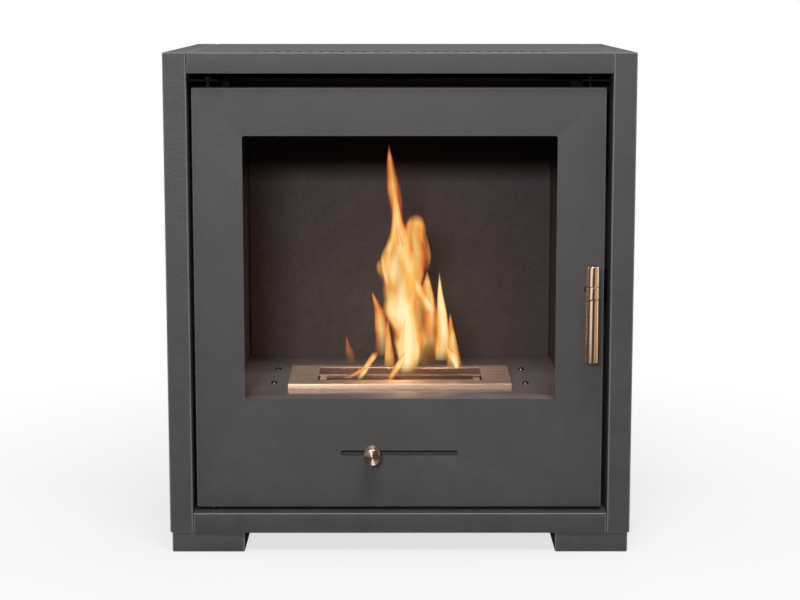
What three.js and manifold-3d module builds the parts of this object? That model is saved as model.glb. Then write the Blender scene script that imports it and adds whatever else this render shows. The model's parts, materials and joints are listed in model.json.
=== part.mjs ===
// A free-standing bioethanol fireplace of folded sheet steel, with a hinged glass door,
// a burner whose lid is drawn by a sliding knob, and a turning door handle.
// Millimetres, +Z up. The origin lies on the floor in the middle of the footprint, the
// front looks towards -Y, and the opening hinge is on the left.

import * as THREE from "three";
import { mergeVertices } from "three/addons/utils/BufferGeometryUtils.js";
import Module from "manifold-3d";

const wasm = await Module();
wasm.setup();

// ---------- Driving dimensions ----------

// Cabinet
const WIDTH = 500;
const DEPTH = 350;
const BODY_HEIGHT = 520; // without the feet
const SIDE_THICKNESS = 25; // a side panel, outside to inside
const FASCIA_HEIGHT = 22; // front edge of the top and bottom panels
const CABINET_SHEET = 2;
const SIDE_LIP = 50; // width of the lips round the open inner face of a side panel
const REAR_FLANGE = 12;
const FOOT_SIDE = 79;
const FOOT_HEIGHT = 22;
const FOOT_INSET = 2; // of a foot from the sides of the cabinet
const SEAM = 0.3; // gap between two pieces that touch
const RUNNING = 0.3; // gap all round between a moving piece and its guide
const OUTER_BEND = 1.5; // rounding of the outer edges of the folded panels
const INNER_BEND = 0.6; // inner radius of a fold in a bracket or a rail

// Warm-air slots in the top panel
const VENT_COUNT = 13; // in each of the two groups
const VENT_PITCH = 11.6;
const VENT_WIDTH = 5;
const VENT_LENGTH = 25;
const VENT_SETBACK = 28; // middle of a slot behind the front
const VENT_GROUP_SPACING = 28.4; // between the nearest slots of the two groups

// Door
const DOOR_RECESS = 13; // face of the door behind the front of the cabinet
const DOOR_DEPTH = 18;
const DOOR_SHEET = 2;
const HINGE_SIDE_GAP = 3.5;
const LATCH_SIDE_GAP = 5.5;
const TOP_GAP = 15.5;
const BOTTOM_GAP = 3.5;
const WINDOW_TO_SIDE = 57; // window to the inside of the side panel
const WINDOW_HEIGHT = 285.4;
const LOWER_BAND = 120.3; // lower edge of the door to the window
const WINDOW_CORNER = 2.5;
const GLASS_THICKNESS = 4;
const GLASS_MARGIN = 10; // glass beyond the window on each side
const SEAL_THICKNESS = 2;
const SEAL_WIDTH = 8;
const CLIP_HEIGHT = 30;
const CLIP_FOOT = 14;
const CLIP_GRIP = 8; // how far a clip reaches over the glass
const CLIP_FROM_END = 46; // middle of a clip from the end of the glass

// Hinge
const HINGE_INSET = 17.5; // axis from the hinge edge of the door
const HINGE_BEHIND_FACE = 9; // axis behind the door's face
const HINGE_PIN = 6;
const PIN_HEAD = 11;
const PIN_HEAD_HEIGHT = 2;
const PIN_ENGAGEMENT = 7; // of a pin, past the flange of the door
const BUSH_WALL = 1.2;
const BUSH_LENGTH = 6;
const BUSH_RIM = 1;
const BUSH_RIM_WIDTH = 1.6;
const BRACKET_SHEET = 2;
const BRACKET_SETBACK = 12.5; // behind the front of the cabinet
const BRACKET_ARM = 32; // reach of the upper brackets from the side panel
const BRACKET_DROP = 9; // upper brackets below the top panel
const STOP_PIN = 5;
const STOP_CLEARANCE = 0.5;

// Knob, its slot and its carriage
const KNOB_DIAMETER = 18;
const KNOB_LENGTH = 20.5;
const KNOB_EDGE = 0.5;
const KNOB_START = -30; // place of the knob along the slot, from the middle of the cabinet
const KNOB_WASHER = 0.6;
const WASHER_DIAMETER = 13;
const STEM_DIAMETER = 5.4;
const STEM_IN_KNOB = 9;
const KNOB_SLOT_LENGTH = 128;
const CARRIAGE_SHEET = 2.5;
const CARRIAGE_COVER = 1.5; // how far the carriage still covers the slot's far end
const CARRIAGE_HEIGHT = 26;
const RAIL_SHEET = 1.5;
const RAIL_LENGTH = 172;
const RAIL_FOOT = 10;
const RAIL_LIP = 5; // how far a rail reaches over the carriage
const FORK_WIDTH = 22;
const FORK_REACH = 39; // tip of the fork behind the inside of the door
const FORK_DEPTH = 12; // of the notch
const FORK_CLEARANCE = 2; // between the notch and the drive pin, for the swing of the door
const FORK_CHAMFER = 2; // of the outer corners
const FORK_LEAD_IN = 1; // chamfer of the mouth of the notch

// Handle and latch
const HANDLE_DIAMETER = 14;
const HANDLE_UPPER = 21.2;
const HANDLE_COLLAR = 12.9;
const HANDLE_LOWER = 67.8;
const HANDLE_GROOVE = 0.8;
const HANDLE_EDGE = 0.6;
const HANDLE_STANDOFF = 30; // its axis in front of the door's face
const HANDLE_INSET = 15.5; // its axis from the free edge of the door
const SPINDLE_HEIGHT = 241.5; // above the lower edge of the door
const SPIGOT_DIAMETER = 8;
const SPIGOT_LENGTH = 8;
const SPINDLE_DIAMETER = 8;
const SPINDLE_IN_COLLAR = 3.5;
const SPINDLE_BUSH_WALL = 1;
const SPINDLE_BUSH_LENGTH = 8.5;
const SPINDLE_RIM = 12.5; // diameter
const SPINDLE_RIM_THICKNESS = 1.5;
const SPACER_WALL = 2.2;
const TONGUE_BEHIND_DOOR = 4; // latch tongue behind the rim of the door
const TONGUE_SHEET = 2.5;
const TONGUE_REACH = 16;
const TONGUE_HUB = 9; // radius
const TONGUE_TIP = 5; // radius
const NUT_ACROSS_FLATS = 13;
const NUT_HEIGHT = 4.5;
const SPINDLE_END = 0.7; // past the nut
const KEEPER_HEIGHT = 36;
const KEEPER_LIP = 3.6;
const KEEPER_SHEET = 1.5;
const KEEPER_CLEARANCE = 2; // between the keeper and the face of the tongue

// Firebox
const FIREBOX_WIDTH = 366;
const FIREBOX_BACK = 275; // face of the back wall behind the front of the cabinet
const LINER_SHEET = 1.5;
const LINER_SETBACK = 15; // front flange of the walls behind the door
const LINER_BELOW_TOP = 8; // upper edge of the walls below the fascia
const LINER_BACK_FLANGE = 13;
const DECK_DROP = 3.8; // deck below the lower edge of the window
const DECK_NOSE_GAP = 1.5; // between the door and the deck
const DECK_APRON = 20;
const DECK_SIDE_MARGIN = 7; // between the deck and the inside of the side panels
const DECK_BEHIND_WALL = 16;
const DECK_RAIL_LEG = 24;
const BAFFLE_SHEET = 1.5;
const BAFFLE_FLANGE = 10;
const BAFFLE_BELOW_TOP = 11; // front edge below the fascia
const BAFFLE_FALL = 40; // from the front edge to the back wall
const BAFFLE_SETBACK = 52;
const BAFFLE_HEM = 4;

// Burner
const BURNER_WIDTH = 252;
const BURNER_DEPTH = 105;
const BURNER_HEIGHT = 7; // above the deck
const BURNER_SETBACK = 78; // front edge behind the front of the cabinet
const BURNER_SHEET = 1.5;
const BURNER_BEND = 0.8;
const FRAME_FRONT = 20;
const FRAME_SIDE = 33;
const FRAME_REAR = 13;
const NOTCH_WIDTH = 30; // finger notch in the rear edge of the frame's opening
const NOTCH_DEPTH = 2.5;
const FUEL_SLOT_WIDTH = 168;
const FUEL_SLOT_DEPTH = 41;
const FUEL_SLOT_MARGIN = 1; // behind the front edge of the frame's opening
const TANK_HEIGHT = 52;
const TANK_FRONT = 9; // tank in front of the fuel slot
const TANK_REAR = 8; // tank behind the fuel slot
const PAD_HEIGHT = 36;
const LID_DEPTH = 44;
const LID_UNDER_FRAME = 5; // how far the lid reaches under the frame on each side
const LID_TRAVEL = 41; // from the rest position to closed
const LID_OVERLAP = 1; // of the closed lid under the front strip
const LID_SHEET = 1.3;
const LID_BEND = 0.5;
const ROD_DIAMETER = 4;
const ROD_INSET = 4; // axis of a drive rod from the end of the lid
const ROD_BEHIND_EDGE = 20; // axis of a drive rod behind the front edge of the lid
const ROD_BELOW_TRAY = 3;
const ROD_TO_TANK = 1.5;

// Cam drive
const CAM_SHEET = 2.5;
const CAM_BELOW_KNOB = 6; // upper face of the cam bar below the axis of the knob
const CAM_MARGIN = 5; // metal beyond the slots
const CAM_TONGUE_WIDTH = 18;
const DRIVE_PIN = 6;
const DRIVE_PIN_RISE = 4; // above the fork
const DRIVE_PIN_RIVET = 4; // diameter in the bar
const DRIVE_PIN_CHAMFER = 1;
const TRAY_SHEET = 1.5;
const TRAY_LENGTH = 290;
const TRAY_WALL = 4; // above the cam bar
const GATE_CLEARANCE = 2; // beside the tongue of the cam bar, at each end of its run
const STRAP_WIDTH = 20;
const STRAP_MIDDLE = 115; // of a strap, from the middle of the cabinet
const STRAP_TAB = 12;

// ---------- Places that follow from them ----------

const halfWidth = WIDTH / 2;
const openingHalf = halfWidth - SIDE_THICKNESS;
const bodyBottom = FOOT_HEIGHT;
const bodyTop = FOOT_HEIGHT + BODY_HEIGHT;
const floorTop = bodyBottom + FASCIA_HEIGHT;
const openingTop = bodyTop - FASCIA_HEIGHT;

const footMiddle = FOOT_INSET + FOOT_SIDE / 2;

const doorLeft = -openingHalf + HINGE_SIDE_GAP;
const doorRight = openingHalf - LATCH_SIDE_GAP;
const doorMiddle = (doorLeft + doorRight) / 2;
const doorBottom = floorTop + BOTTOM_GAP;
const doorTop = openingTop - TOP_GAP;
const doorFace = DOOR_RECESS;
const doorInside = doorFace + DOOR_SHEET;
const doorRim = doorFace + DOOR_DEPTH;

const windowHalf = openingHalf - WINDOW_TO_SIDE;
const windowBottom = doorBottom + LOWER_BAND;
const windowTop = windowBottom + WINDOW_HEIGHT;
const glassHalf = windowHalf + GLASS_MARGIN;
const glassBottom = windowBottom - GLASS_MARGIN;
const glassTop = windowTop + GLASS_MARGIN;
const glassFace = doorInside + SEAL_THICKNESS + SEAM;
const glassBack = glassFace + GLASS_THICKNESS;

const hingeX = doorLeft + HINGE_INSET;
const hingeY = doorFace + HINGE_BEHIND_FACE;
const bushRadius = HINGE_PIN / 2 + RUNNING + BUSH_WALL;
const bracketTop = openingTop - BRACKET_DROP + BRACKET_SHEET;
const bracketUnderside = openingTop - BRACKET_DROP;

const knobZ = doorBottom + LOWER_BAND / 2;
const knobSlotHeight = STEM_DIAMETER + 2 * RUNNING;
const knobBack = doorFace - KNOB_WASHER - 2 * SEAM;
const knobFront = knobBack - KNOB_LENGTH;
const carriageFace = doorInside + RUNNING;
const carriageBack = carriageFace + CARRIAGE_SHEET;
const forkTip = doorInside + FORK_REACH;
const carriageHalf = KNOB_SLOT_LENGTH - knobSlotHeight / 2 + CARRIAGE_COVER;
const knobLeftTravel = KNOB_SLOT_LENGTH / 2 - knobSlotHeight / 2 + KNOB_START - doorMiddle;
const knobRightTravel = KNOB_SLOT_LENGTH / 2 - knobSlotHeight / 2 - KNOB_START + doorMiddle;

const handleX = doorRight - HANDLE_INSET;
const handleZ = doorBottom + SPINDLE_HEIGHT;
const handleY = doorFace - HANDLE_STANDOFF;
const handleReach = HANDLE_STANDOFF + HANDLE_DIAMETER / 2 - DOOR_RECESS;
const tongueFace = doorRim + TONGUE_BEHIND_DOOR;
const tongueBack = tongueFace + TONGUE_SHEET;
const nutBack = tongueBack + SEAM + NUT_HEIGHT;
const spindleHole = SPINDLE_DIAMETER / 2 + RUNNING;

const linerHalf = FIREBOX_WIDTH / 2;
const linerFront = doorRim + LINER_SETBACK;
const linerTop = openingTop - LINER_BELOW_TOP;
const linerRear = FIREBOX_BACK + LINER_SHEET + LINER_BACK_FLANGE;
const deckTop = windowBottom - DECK_DROP;
const deckUnderside = deckTop - LINER_SHEET;
const deckNose = doorRim + DECK_NOSE_GAP;
const deckHalf = openingHalf - DECK_SIDE_MARGIN;

const burnerHalf = BURNER_WIDTH / 2;
const burnerRear = BURNER_SETBACK + BURNER_DEPTH;
const frameTop = deckTop + BURNER_HEIGHT;
const frameOpeningHalf = burnerHalf - FRAME_SIDE;
const frameOpeningFront = BURNER_SETBACK + FRAME_FRONT;
const frameOpeningRear = burnerRear - FRAME_REAR;
const tankTop = deckTop + SEAM + BURNER_SHEET;
const tankBottom = tankTop - TANK_HEIGHT;
const fuelFront = frameOpeningFront + FUEL_SLOT_MARGIN;
const fuelRear = fuelFront + FUEL_SLOT_DEPTH;
const lidHalf = frameOpeningHalf + LID_UNDER_FRAME;
const lidFront = frameOpeningFront - LID_OVERLAP + LID_TRAVEL;
const lidTop = frameTop - BURNER_SHEET - RUNNING;
const lidBottom = tankTop + RUNNING;
const rodX = lidHalf - ROD_INSET;
const rodY = lidFront + ROD_BEHIND_EDGE;
const tankHalf = rodX - ROD_DIAMETER / 2 - ROD_TO_TANK;
const tankFront = fuelFront - TANK_FRONT;
const tankRear = fuelRear + TANK_REAR;

// The lid runs forward while the knob runs to the right, in this constant ratio.
const lidPerKnob = LID_TRAVEL / knobRightTravel;
const rodForward = LID_TRAVEL;
const rodBackward = knobLeftTravel * lidPerKnob;
const rodSlotWidth = ROD_DIAMETER + 2 * RUNNING;

const camTop = knobZ - CAM_BELOW_KNOB;
const camUnderside = camTop - CAM_SHEET;
const camFront = rodY - rodForward - rodSlotWidth / 2 - CAM_MARGIN;
const camRear = rodY + rodBackward + rodSlotWidth / 2 + CAM_MARGIN;
const camLeft = -rodX - knobRightTravel - rodSlotWidth / 2 - CAM_MARGIN;
const camRight = rodX + knobLeftTravel + rodSlotWidth / 2 + CAM_MARGIN;
const pinY = forkTip - FORK_DEPTH / 2;
const trayTop = camUnderside - RUNNING;
const trayUnderside = trayTop - TRAY_SHEET;

// The handle is what stands out furthest, so it sets where the middle of the footprint is.
const frontY = (handleReach - DEPTH) / 2;

// ---------- Materials ----------

function finish(color, roughness, metalness) {
  return new THREE.MeshStandardMaterial({ color, roughness, metalness });
}

const bodyPaint = finish(0x51504f, 0.7, 0.3);
const linerPaint = finish(0x3d3738, 0.8, 0.2);
const stainless = finish(0xb9aea4, 0.35, 1);
const zincSteel = finish(0x9a9c9e, 0.45, 1);
const blackSteel = finish(0x1e1e1e, 0.5, 0.8);
const copper = finish(0xb98a6c, 0.35, 1);
const brass = finish(0xa98c55, 0.4, 1);
const fibre = finish(0xe4dfd4, 0.95, 0);
const sealCord = finish(0x2a2a2a, 0.95, 0);
const nylon = finish(0x1d1d1d, 0.6, 0);
const glass = new THREE.MeshStandardMaterial({
  color: 0xdfe6e6,
  roughness: 0.05,
  metalness: 0,
  transparent: true,
  opacity: 0.25,
});

// ---------- Solids ----------

// A closed geometry as a solid that can be joined and cut.
function solid(geometry) {
  const bare = geometry.clone();
  bare.deleteAttribute("normal");
  bare.deleteAttribute("uv");
  const merged = mergeVertices(bare);
  return new wasm.Manifold(
    new wasm.Mesh({
      numProp: 3,
      vertProperties: merged.attributes.position.array,
      triVerts: new Uint32Array(merged.index.array),
    }),
  );
}

// The flat-shaded geometry of a solid.
function geometryOf(shape) {
  const { vertProperties, triVerts } = shape.getMesh();
  const indexed = new THREE.BufferGeometry();
  indexed.setAttribute("position", new THREE.BufferAttribute(vertProperties, 3));
  indexed.setIndex(new THREE.BufferAttribute(triVerts, 1));
  const flat = indexed.toNonIndexed();
  flat.computeVertexNormals();
  return flat;
}

function place(parent, name, shape, material) {
  const mesh = new THREE.Mesh(geometryOf(shape), material);
  mesh.name = name;
  parent.add(mesh);
  return mesh;
}

function group(parent, x, y, z) {
  const made = new THREE.Group();
  made.position.set(x, y, z);
  parent.add(made);
  return made;
}

// A block between two limits along each axis.
function block([x0, x1], [y0, y1], [z0, z1]) {
  const geometry = new THREE.BoxGeometry(x1 - x0, y1 - y0, z1 - z0);
  return solid(geometry.translate((x0 + x1) / 2, (y0 + y1) / 2, (z0 + z1) / 2));
}

function rectangle([x0, x1], [y0, y1], radius) {
  const shape = new THREE.Shape();
  const quarter = Math.PI / 2;
  shape.absarc(x1 - radius, y0 + radius, radius, -quarter, 0);
  shape.absarc(x1 - radius, y1 - radius, radius, 0, quarter);
  shape.absarc(x0 + radius, y1 - radius, radius, quarter, 2 * quarter);
  shape.absarc(x0 + radius, y0 + radius, radius, 2 * quarter, 3 * quarter);
  return shape;
}

// A block whose outer edges are rounded, as those of a folded panel are.
function foldedBlock([x0, x1], [y0, y1], [z0, z1], edge = OUTER_BEND) {
  const flat = rectangle([x0 + edge, x1 - edge], [y0 + edge, y1 - edge], edge / 3);
  const geometry = new THREE.ExtrudeGeometry(flat, {
    depth: z1 - z0 - 2 * edge,
    bevelSize: edge,
    bevelThickness: edge,
    bevelSegments: 2,
    curveSegments: 2,
  });
  return solid(geometry.translate(0, 0, z0 + edge));
}

// A folded tray: rounded along its bends and square along the free edges of its open side.
// The open side is named by its axis and its direction, such as "-z".
function foldedTray(limits, openSide, sheet, edge = OUTER_BEND) {
  const axis = "xyz".indexOf(openSide[1]);
  const direction = openSide[0] === "+" ? 1 : -1;
  const openEnd = direction > 0 ? 1 : 0;
  const longer = limits.map((range) => [...range]);
  longer[axis][openEnd] += direction * 2 * edge;
  const hollow = limits.map(([low, high]) => [low + sheet, high - sheet]);
  hollow[axis][openEnd] = longer[axis][openEnd] + direction;
  const beyond = limits.map(([low, high]) => [low - 1, high + 1]);
  beyond[axis][1 - openEnd] = limits[axis][openEnd];
  beyond[axis][openEnd] = longer[axis][openEnd] + direction;
  return foldedBlock(...longer, edge).subtract(block(...hollow)).subtract(block(...beyond));
}

const axisX = new THREE.Vector3(1, 0, 0);
const axisY = new THREE.Vector3(0, 1, 0);
const axisZ = new THREE.Vector3(0, 0, 1);

function extruded(shape, length, curveSegments) {
  return new THREE.ExtrudeGeometry(shape, { depth: length, bevelEnabled: false, curveSegments });
}

// A section in Y and Z, drawn out along X.
function alongX(shape, [from, to], curveSegments = 3) {
  const turn = new THREE.Matrix4().makeBasis(axisY, axisZ, axisX);
  return solid(extruded(shape, to - from, curveSegments).applyMatrix4(turn).translate(from, 0, 0));
}

// A section in X and Z, drawn out along Y.
function alongY(shape, [from, to], curveSegments = 3) {
  const turn = new THREE.Matrix4().makeBasis(axisX, axisZ, axisY.clone().negate());
  return solid(extruded(shape, to - from, curveSegments).applyMatrix4(turn).translate(0, to, 0));
}

// A section in X and Y, drawn out along Z.
function alongZ(shape, [from, to], curveSegments = 3) {
  return solid(extruded(shape, to - from, curveSegments).translate(0, 0, from));
}

// A turned piece about the Z axis, from a profile of radius and height.
function turned(profile, sides = 16) {
  const points = profile.map(([radius, height]) => new THREE.Vector2(radius, height));
  return solid(new THREE.LatheGeometry(points, sides).rotateX(Math.PI / 2));
}

// A turned piece about the Y axis; its profile's heights run from the front to the back.
function turnedAlongY(profile, sides = 16) {
  const points = profile.map(([radius, height]) => new THREE.Vector2(radius, height));
  return solid(new THREE.LatheGeometry(points, sides));
}

function rod(radius, [from, to], sides = 16) {
  return turned([[0, from], [radius, from], [radius, to], [0, to]], sides);
}

function rodAlongY(radius, [from, to], sides = 16) {
  return turnedAlongY([[0, from], [radius, from], [radius, to], [0, to]], sides);
}

function tubeProfile(inner, outer, [from, to]) {
  return [[inner, from], [outer, from], [outer, to], [inner, to], [inner, from]];
}

function moved(shape, x, y, z) {
  return shape.translate([x, y, z]);
}

// A slot with round ends, between two points of its middle line.
function slotShape([x0, y0], [x1, y1], width) {
  const angle = Math.atan2(y1 - y0, x1 - x0);
  const quarter = Math.PI / 2;
  const shape = new THREE.Shape();
  shape.absarc(x1, y1, width / 2, angle - quarter, angle + quarter);
  shape.absarc(x0, y0, width / 2, angle + quarter, angle + 3 * quarter);
  return shape;
}

// An outline through corners, each rounded by its own radius.
function roundedOutline(corners, radii) {
  const shape = new THREE.Shape();
  corners.forEach((corner, i) => {
    const before = corners[(i + corners.length - 1) % corners.length];
    const after = corners[(i + 1) % corners.length];
    const start = corner.clone().add(before.clone().sub(corner).setLength(radii[i]));
    const end = corner.clone().add(after.clone().sub(corner).setLength(radii[i]));
    if (i === 0) shape.moveTo(start.x, start.y);
    else shape.lineTo(start.x, start.y);
    if (radii[i] > 0) shape.quadraticCurveTo(corner.x, corner.y, end.x, end.y);
  });
  shape.closePath();
  return shape;
}

// The section of a folded sheet. One face follows the path, the other lies on its left,
// or on its right where the sheet is given as negative.
function foldedSection(path, sheet, bend = INNER_BEND) {
  const points = path.map(([x, y]) => new THREE.Vector2(x, y));
  const normals = points.slice(1).map((point, i) => {
    const along = point.clone().sub(points[i]).normalize();
    return new THREE.Vector2(-along.y, along.x);
  });
  const last = points.length - 1;
  const faces = points.map((point, i) => {
    const before = normals[Math.max(i - 1, 0)];
    const after = normals[Math.min(i, last - 1)];
    const mitre = before.clone().add(after).multiplyScalar(sheet / (1 + before.dot(after)));
    const isEnd = i === 0 || i === last;
    const outerRadius = isEnd ? 0 : bend + Math.abs(sheet);
    const innerRadius = isEnd ? 0 : bend;
    const pathIsOutside = before.cross(after) * sheet > 0;
    return {
      near: point,
      far: point.clone().add(mitre),
      nearRadius: pathIsOutside ? outerRadius : innerRadius,
      farRadius: pathIsOutside ? innerRadius : outerRadius,
    };
  });
  const back = faces.slice().reverse();
  const corners = [...faces.map((face) => face.near), ...back.map((face) => face.far)];
  const radii = [...faces.map((face) => face.nearRadius), ...back.map((face) => face.farRadius)];
  return roundedOutline(corners, radii);
}

// ---------- Cabinet ----------

// The right side panel: a closed box outside, open inside within a lip all round.
function sidePanel() {
  const x = [openingHalf, halfWidth];
  const z = [bodyBottom, bodyTop];
  const hollow = block(
    [x[0] + CABINET_SHEET, x[1] - CABINET_SHEET],
    [CABINET_SHEET, DEPTH - CABINET_SHEET],
    [z[0] + CABINET_SHEET, z[1] - CABINET_SHEET],
  );
  const innerWindow = block(
    [x[0] - 1, x[0] + 2 * CABINET_SHEET],
    [SIDE_LIP + DOOR_RECESS, DEPTH - SIDE_LIP],
    [z[0] + SIDE_LIP, z[1] - SIDE_LIP],
  );
  return foldedBlock(x, [0, DEPTH], z).subtract(hollow.add(innerWindow));
}

function ventSlots() {
  const y = [VENT_SETBACK - VENT_LENGTH / 2, VENT_SETBACK + VENT_LENGTH / 2];
  const slots = [];
  for (const side of [-1, 1]) {
    for (let i = 0; i < VENT_COUNT; i++) {
      const x = side * (VENT_GROUP_SPACING / 2 + i * VENT_PITCH);
      const ends = [y[0] + VENT_WIDTH / 2, y[1] - VENT_WIDTH / 2];
      const shape = slotShape([x, ends[0]], [x, ends[1]], VENT_WIDTH);
      slots.push(alongZ(shape, [bodyTop - 2 * CABINET_SHEET, bodyTop + 1], 4));
    }
  }
  return slots.reduce((all, slot) => all.add(slot));
}

function topPanel() {
  const half = openingHalf - SEAM;
  const limits = [[-half, half], [0, DEPTH], [openingTop, bodyTop]];
  return foldedTray(limits, "-z", CABINET_SHEET).subtract(ventSlots());
}

function bottomPanel() {
  const half = openingHalf - SEAM;
  const limits = [[-half, half], [0, DEPTH], [bodyBottom, floorTop]];
  const hingeHole = moved(rod(HINGE_PIN / 2 + SEAM, [bodyBottom, floorTop + 1]), hingeX, hingeY, 0);
  return foldedTray(limits, "-z", CABINET_SHEET).subtract(hingeHole);
}

function rearPanel() {
  const half = openingHalf - SEAM;
  const y = [DEPTH - CABINET_SHEET - REAR_FLANGE, DEPTH];
  const z = [floorTop + SEAM, openingTop - SEAM];
  return foldedTray([[-half, half], y, z], "-y", CABINET_SHEET);
}

// A foot about its own middle: a square folded box, open above.
function foot() {
  const side = [-FOOT_SIDE / 2, FOOT_SIDE / 2];
  return foldedTray([side, side, [0, FOOT_HEIGHT - SEAM]], "+z", CABINET_SHEET);
}

// The right wall of the firebox, with the flange that covers the way to the side panel.
// The flange runs down to the floor; the wall itself stands on the deck.
function fireboxWall() {
  const flangeEdge = openingHalf - 2 * SEAM;
  const path = [
    [linerHalf, linerRear],
    [linerHalf, linerFront],
    [flangeEdge, linerFront],
  ];
  const section = foldedSection(path, LINER_SHEET);
  const foldEnd = linerFront + LINER_SHEET;
  const belowDeck = block(
    [linerHalf - 1, linerHalf + LINER_SHEET + INNER_BEND],
    [foldEnd, linerRear + 1],
    [0, deckTop + SEAM],
  );
  return alongZ(section, [floorTop + SEAM, linerTop]).subtract(belowDeck);
}

// The back wall of the firebox, with a flange turned back along each side wall.
function fireboxBack() {
  const half = linerHalf - SEAM;
  const path = [
    [-half, linerRear],
    [-half, FIREBOX_BACK],
    [half, FIREBOX_BACK],
    [half, linerRear],
  ];
  return alongZ(foldedSection(path, LINER_SHEET), [deckTop + SEAM, linerTop]);
}

// The sloping baffle: a sheet with flanges down its sides and a hem along its front edge.
function baffle() {
  const half = linerHalf - SEAM;
  const frontZ = openingTop - BAFFLE_BELOW_TOP;
  const front = new THREE.Vector2(BAFFLE_SETBACK, frontZ);
  const rear = new THREE.Vector2(FIREBOX_BACK - SEAM, frontZ - BAFFLE_FALL);
  const fall = (run) => (run * BAFFLE_FALL) / (rear.x - front.x);
  const upper = foldedSection(
    [rear.toArray(), front.toArray(), [front.x, front.y + BAFFLE_HEM]],
    -BAFFLE_SHEET,
  );
  const inSheet = BAFFLE_SHEET / 2;
  const flange = new THREE.Shape([
    new THREE.Vector2(front.x + BAFFLE_FLANGE, front.y + inSheet - fall(BAFFLE_FLANGE)),
    new THREE.Vector2(rear.x, rear.y + inSheet),
    new THREE.Vector2(rear.x, rear.y - BAFFLE_FLANGE),
    new THREE.Vector2(front.x + 2 * BAFFLE_FLANGE, front.y - BAFFLE_FLANGE),
  ]);
  const left = alongX(flange, [-half, -half + BAFFLE_SHEET]);
  const right = alongX(flange, [half - BAFFLE_SHEET, half]);
  return alongX(upper, [-half, half]).add(left).add(right);
}

// The deck: wide under the side walls, narrow where its nose passes between their flanges,
// with a cut-out for the tank and the drive rods.
function deckPlate() {
  const noseHalf = linerHalf - SEAM;
  const shoulder = linerFront + LINER_SHEET + SEAM;
  const rear = linerRear + DECK_BEHIND_WALL - LINER_BACK_FLANGE;
  const outline = new THREE.Shape([
    new THREE.Vector2(-noseHalf, deckNose),
    new THREE.Vector2(noseHalf, deckNose),
    new THREE.Vector2(noseHalf, shoulder),
    new THREE.Vector2(deckHalf, shoulder),
    new THREE.Vector2(deckHalf, rear),
    new THREE.Vector2(-deckHalf, rear),
    new THREE.Vector2(-deckHalf, shoulder),
    new THREE.Vector2(-noseHalf, shoulder),
  ]);
  const apron = block(
    [-noseHalf, noseHalf],
    [deckNose, deckNose + LINER_SHEET],
    [deckTop - DECK_APRON, deckTop],
  );
  const cutHalf = rodX + rodSlotWidth / 2 + SEAM;
  const cutOut = block(
    [-cutHalf, cutHalf],
    [tankFront - SEAM, rodY + rodBackward + rodSlotWidth / 2 + SEAM],
    [deckUnderside - 1, deckTop + 1],
  );
  return alongZ(outline, [deckUnderside, deckTop]).add(apron).subtract(cutOut);
}

// The right rail: an angle on the lips of the side panel, under the edge of the deck.
function deckRail() {
  const outside = openingHalf - SEAM;
  const top = deckUnderside - SEAM;
  const path = [
    [outside, top - DECK_RAIL_LEG],
    [outside, top],
    [outside - DECK_RAIL_LEG, top],
  ];
  const y = [linerFront + LINER_SHEET + SEAM, DEPTH - CABINET_SHEET - REAR_FLANGE - SEAM];
  return alongY(foldedSection(path, LINER_SHEET), y);
}

// ---------- Hinge, stop and keeper on the cabinet ----------

// The bracket at the upper right, bent up along the side panel, with a hole for its pin.
function upperBracket(pinX, pinY, pinRadius) {
  const outside = openingHalf - SEAM;
  const path = [
    [outside - BRACKET_ARM, bracketUnderside],
    [outside, bracketUnderside],
    [outside, openingTop - SEAM],
  ];
  const angle = alongY(foldedSection(path, BRACKET_SHEET), [BRACKET_SETBACK, linerFront - SEAM]);
  const reach = [bracketUnderside - 1, bracketTop + 1];
  return angle.subtract(moved(rod(pinRadius + SEAM, reach), pinX, pinY, 0));
}

// A pin that hangs by its head from an upper bracket.
function headedPin(radius, bottom) {
  const shoulder = bracketTop + SEAM;
  return turned([
    [0, bottom],
    [radius, bottom],
    [radius, shoulder],
    [PIN_HEAD / 2, shoulder],
    [PIN_HEAD / 2, shoulder + PIN_HEAD_HEIGHT],
    [0, shoulder + PIN_HEAD_HEIGHT],
  ]);
}

// The lower pin stands in the bottom panel on a collar that the door's bush rests on.
function lowerHingePin() {
  const collarTop = doorBottom - SEAM - BUSH_RIM - SEAM;
  const radius = HINGE_PIN / 2;
  return turned([
    [0, floorTop - 2 * CABINET_SHEET],
    [radius, floorTop - 2 * CABINET_SHEET],
    [radius, floorTop + SEAM],
    [PIN_HEAD / 2, floorTop + SEAM],
    [PIN_HEAD / 2, collarTop],
    [radius, collarTop],
    [radius, doorBottom + DOOR_SHEET + PIN_ENGAGEMENT],
    [0, doorBottom + DOOR_SHEET + PIN_ENGAGEMENT],
  ]);
}

// The keeper on the right side panel: its lip stands beside the tip of the latch tongue.
function latchKeeper() {
  const outside = openingHalf - SEAM;
  const front = tongueFace - KEEPER_SHEET - KEEPER_CLEARANCE;
  const path = [
    [outside - KEEPER_LIP, front],
    [outside, front],
    [outside, linerFront - SEAM],
  ];
  const z = [handleZ - KEEPER_HEIGHT / 2, handleZ + KEEPER_HEIGHT / 2];
  return alongZ(foldedSection(path, KEEPER_SHEET), z);
}

// ---------- Burner ----------

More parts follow.
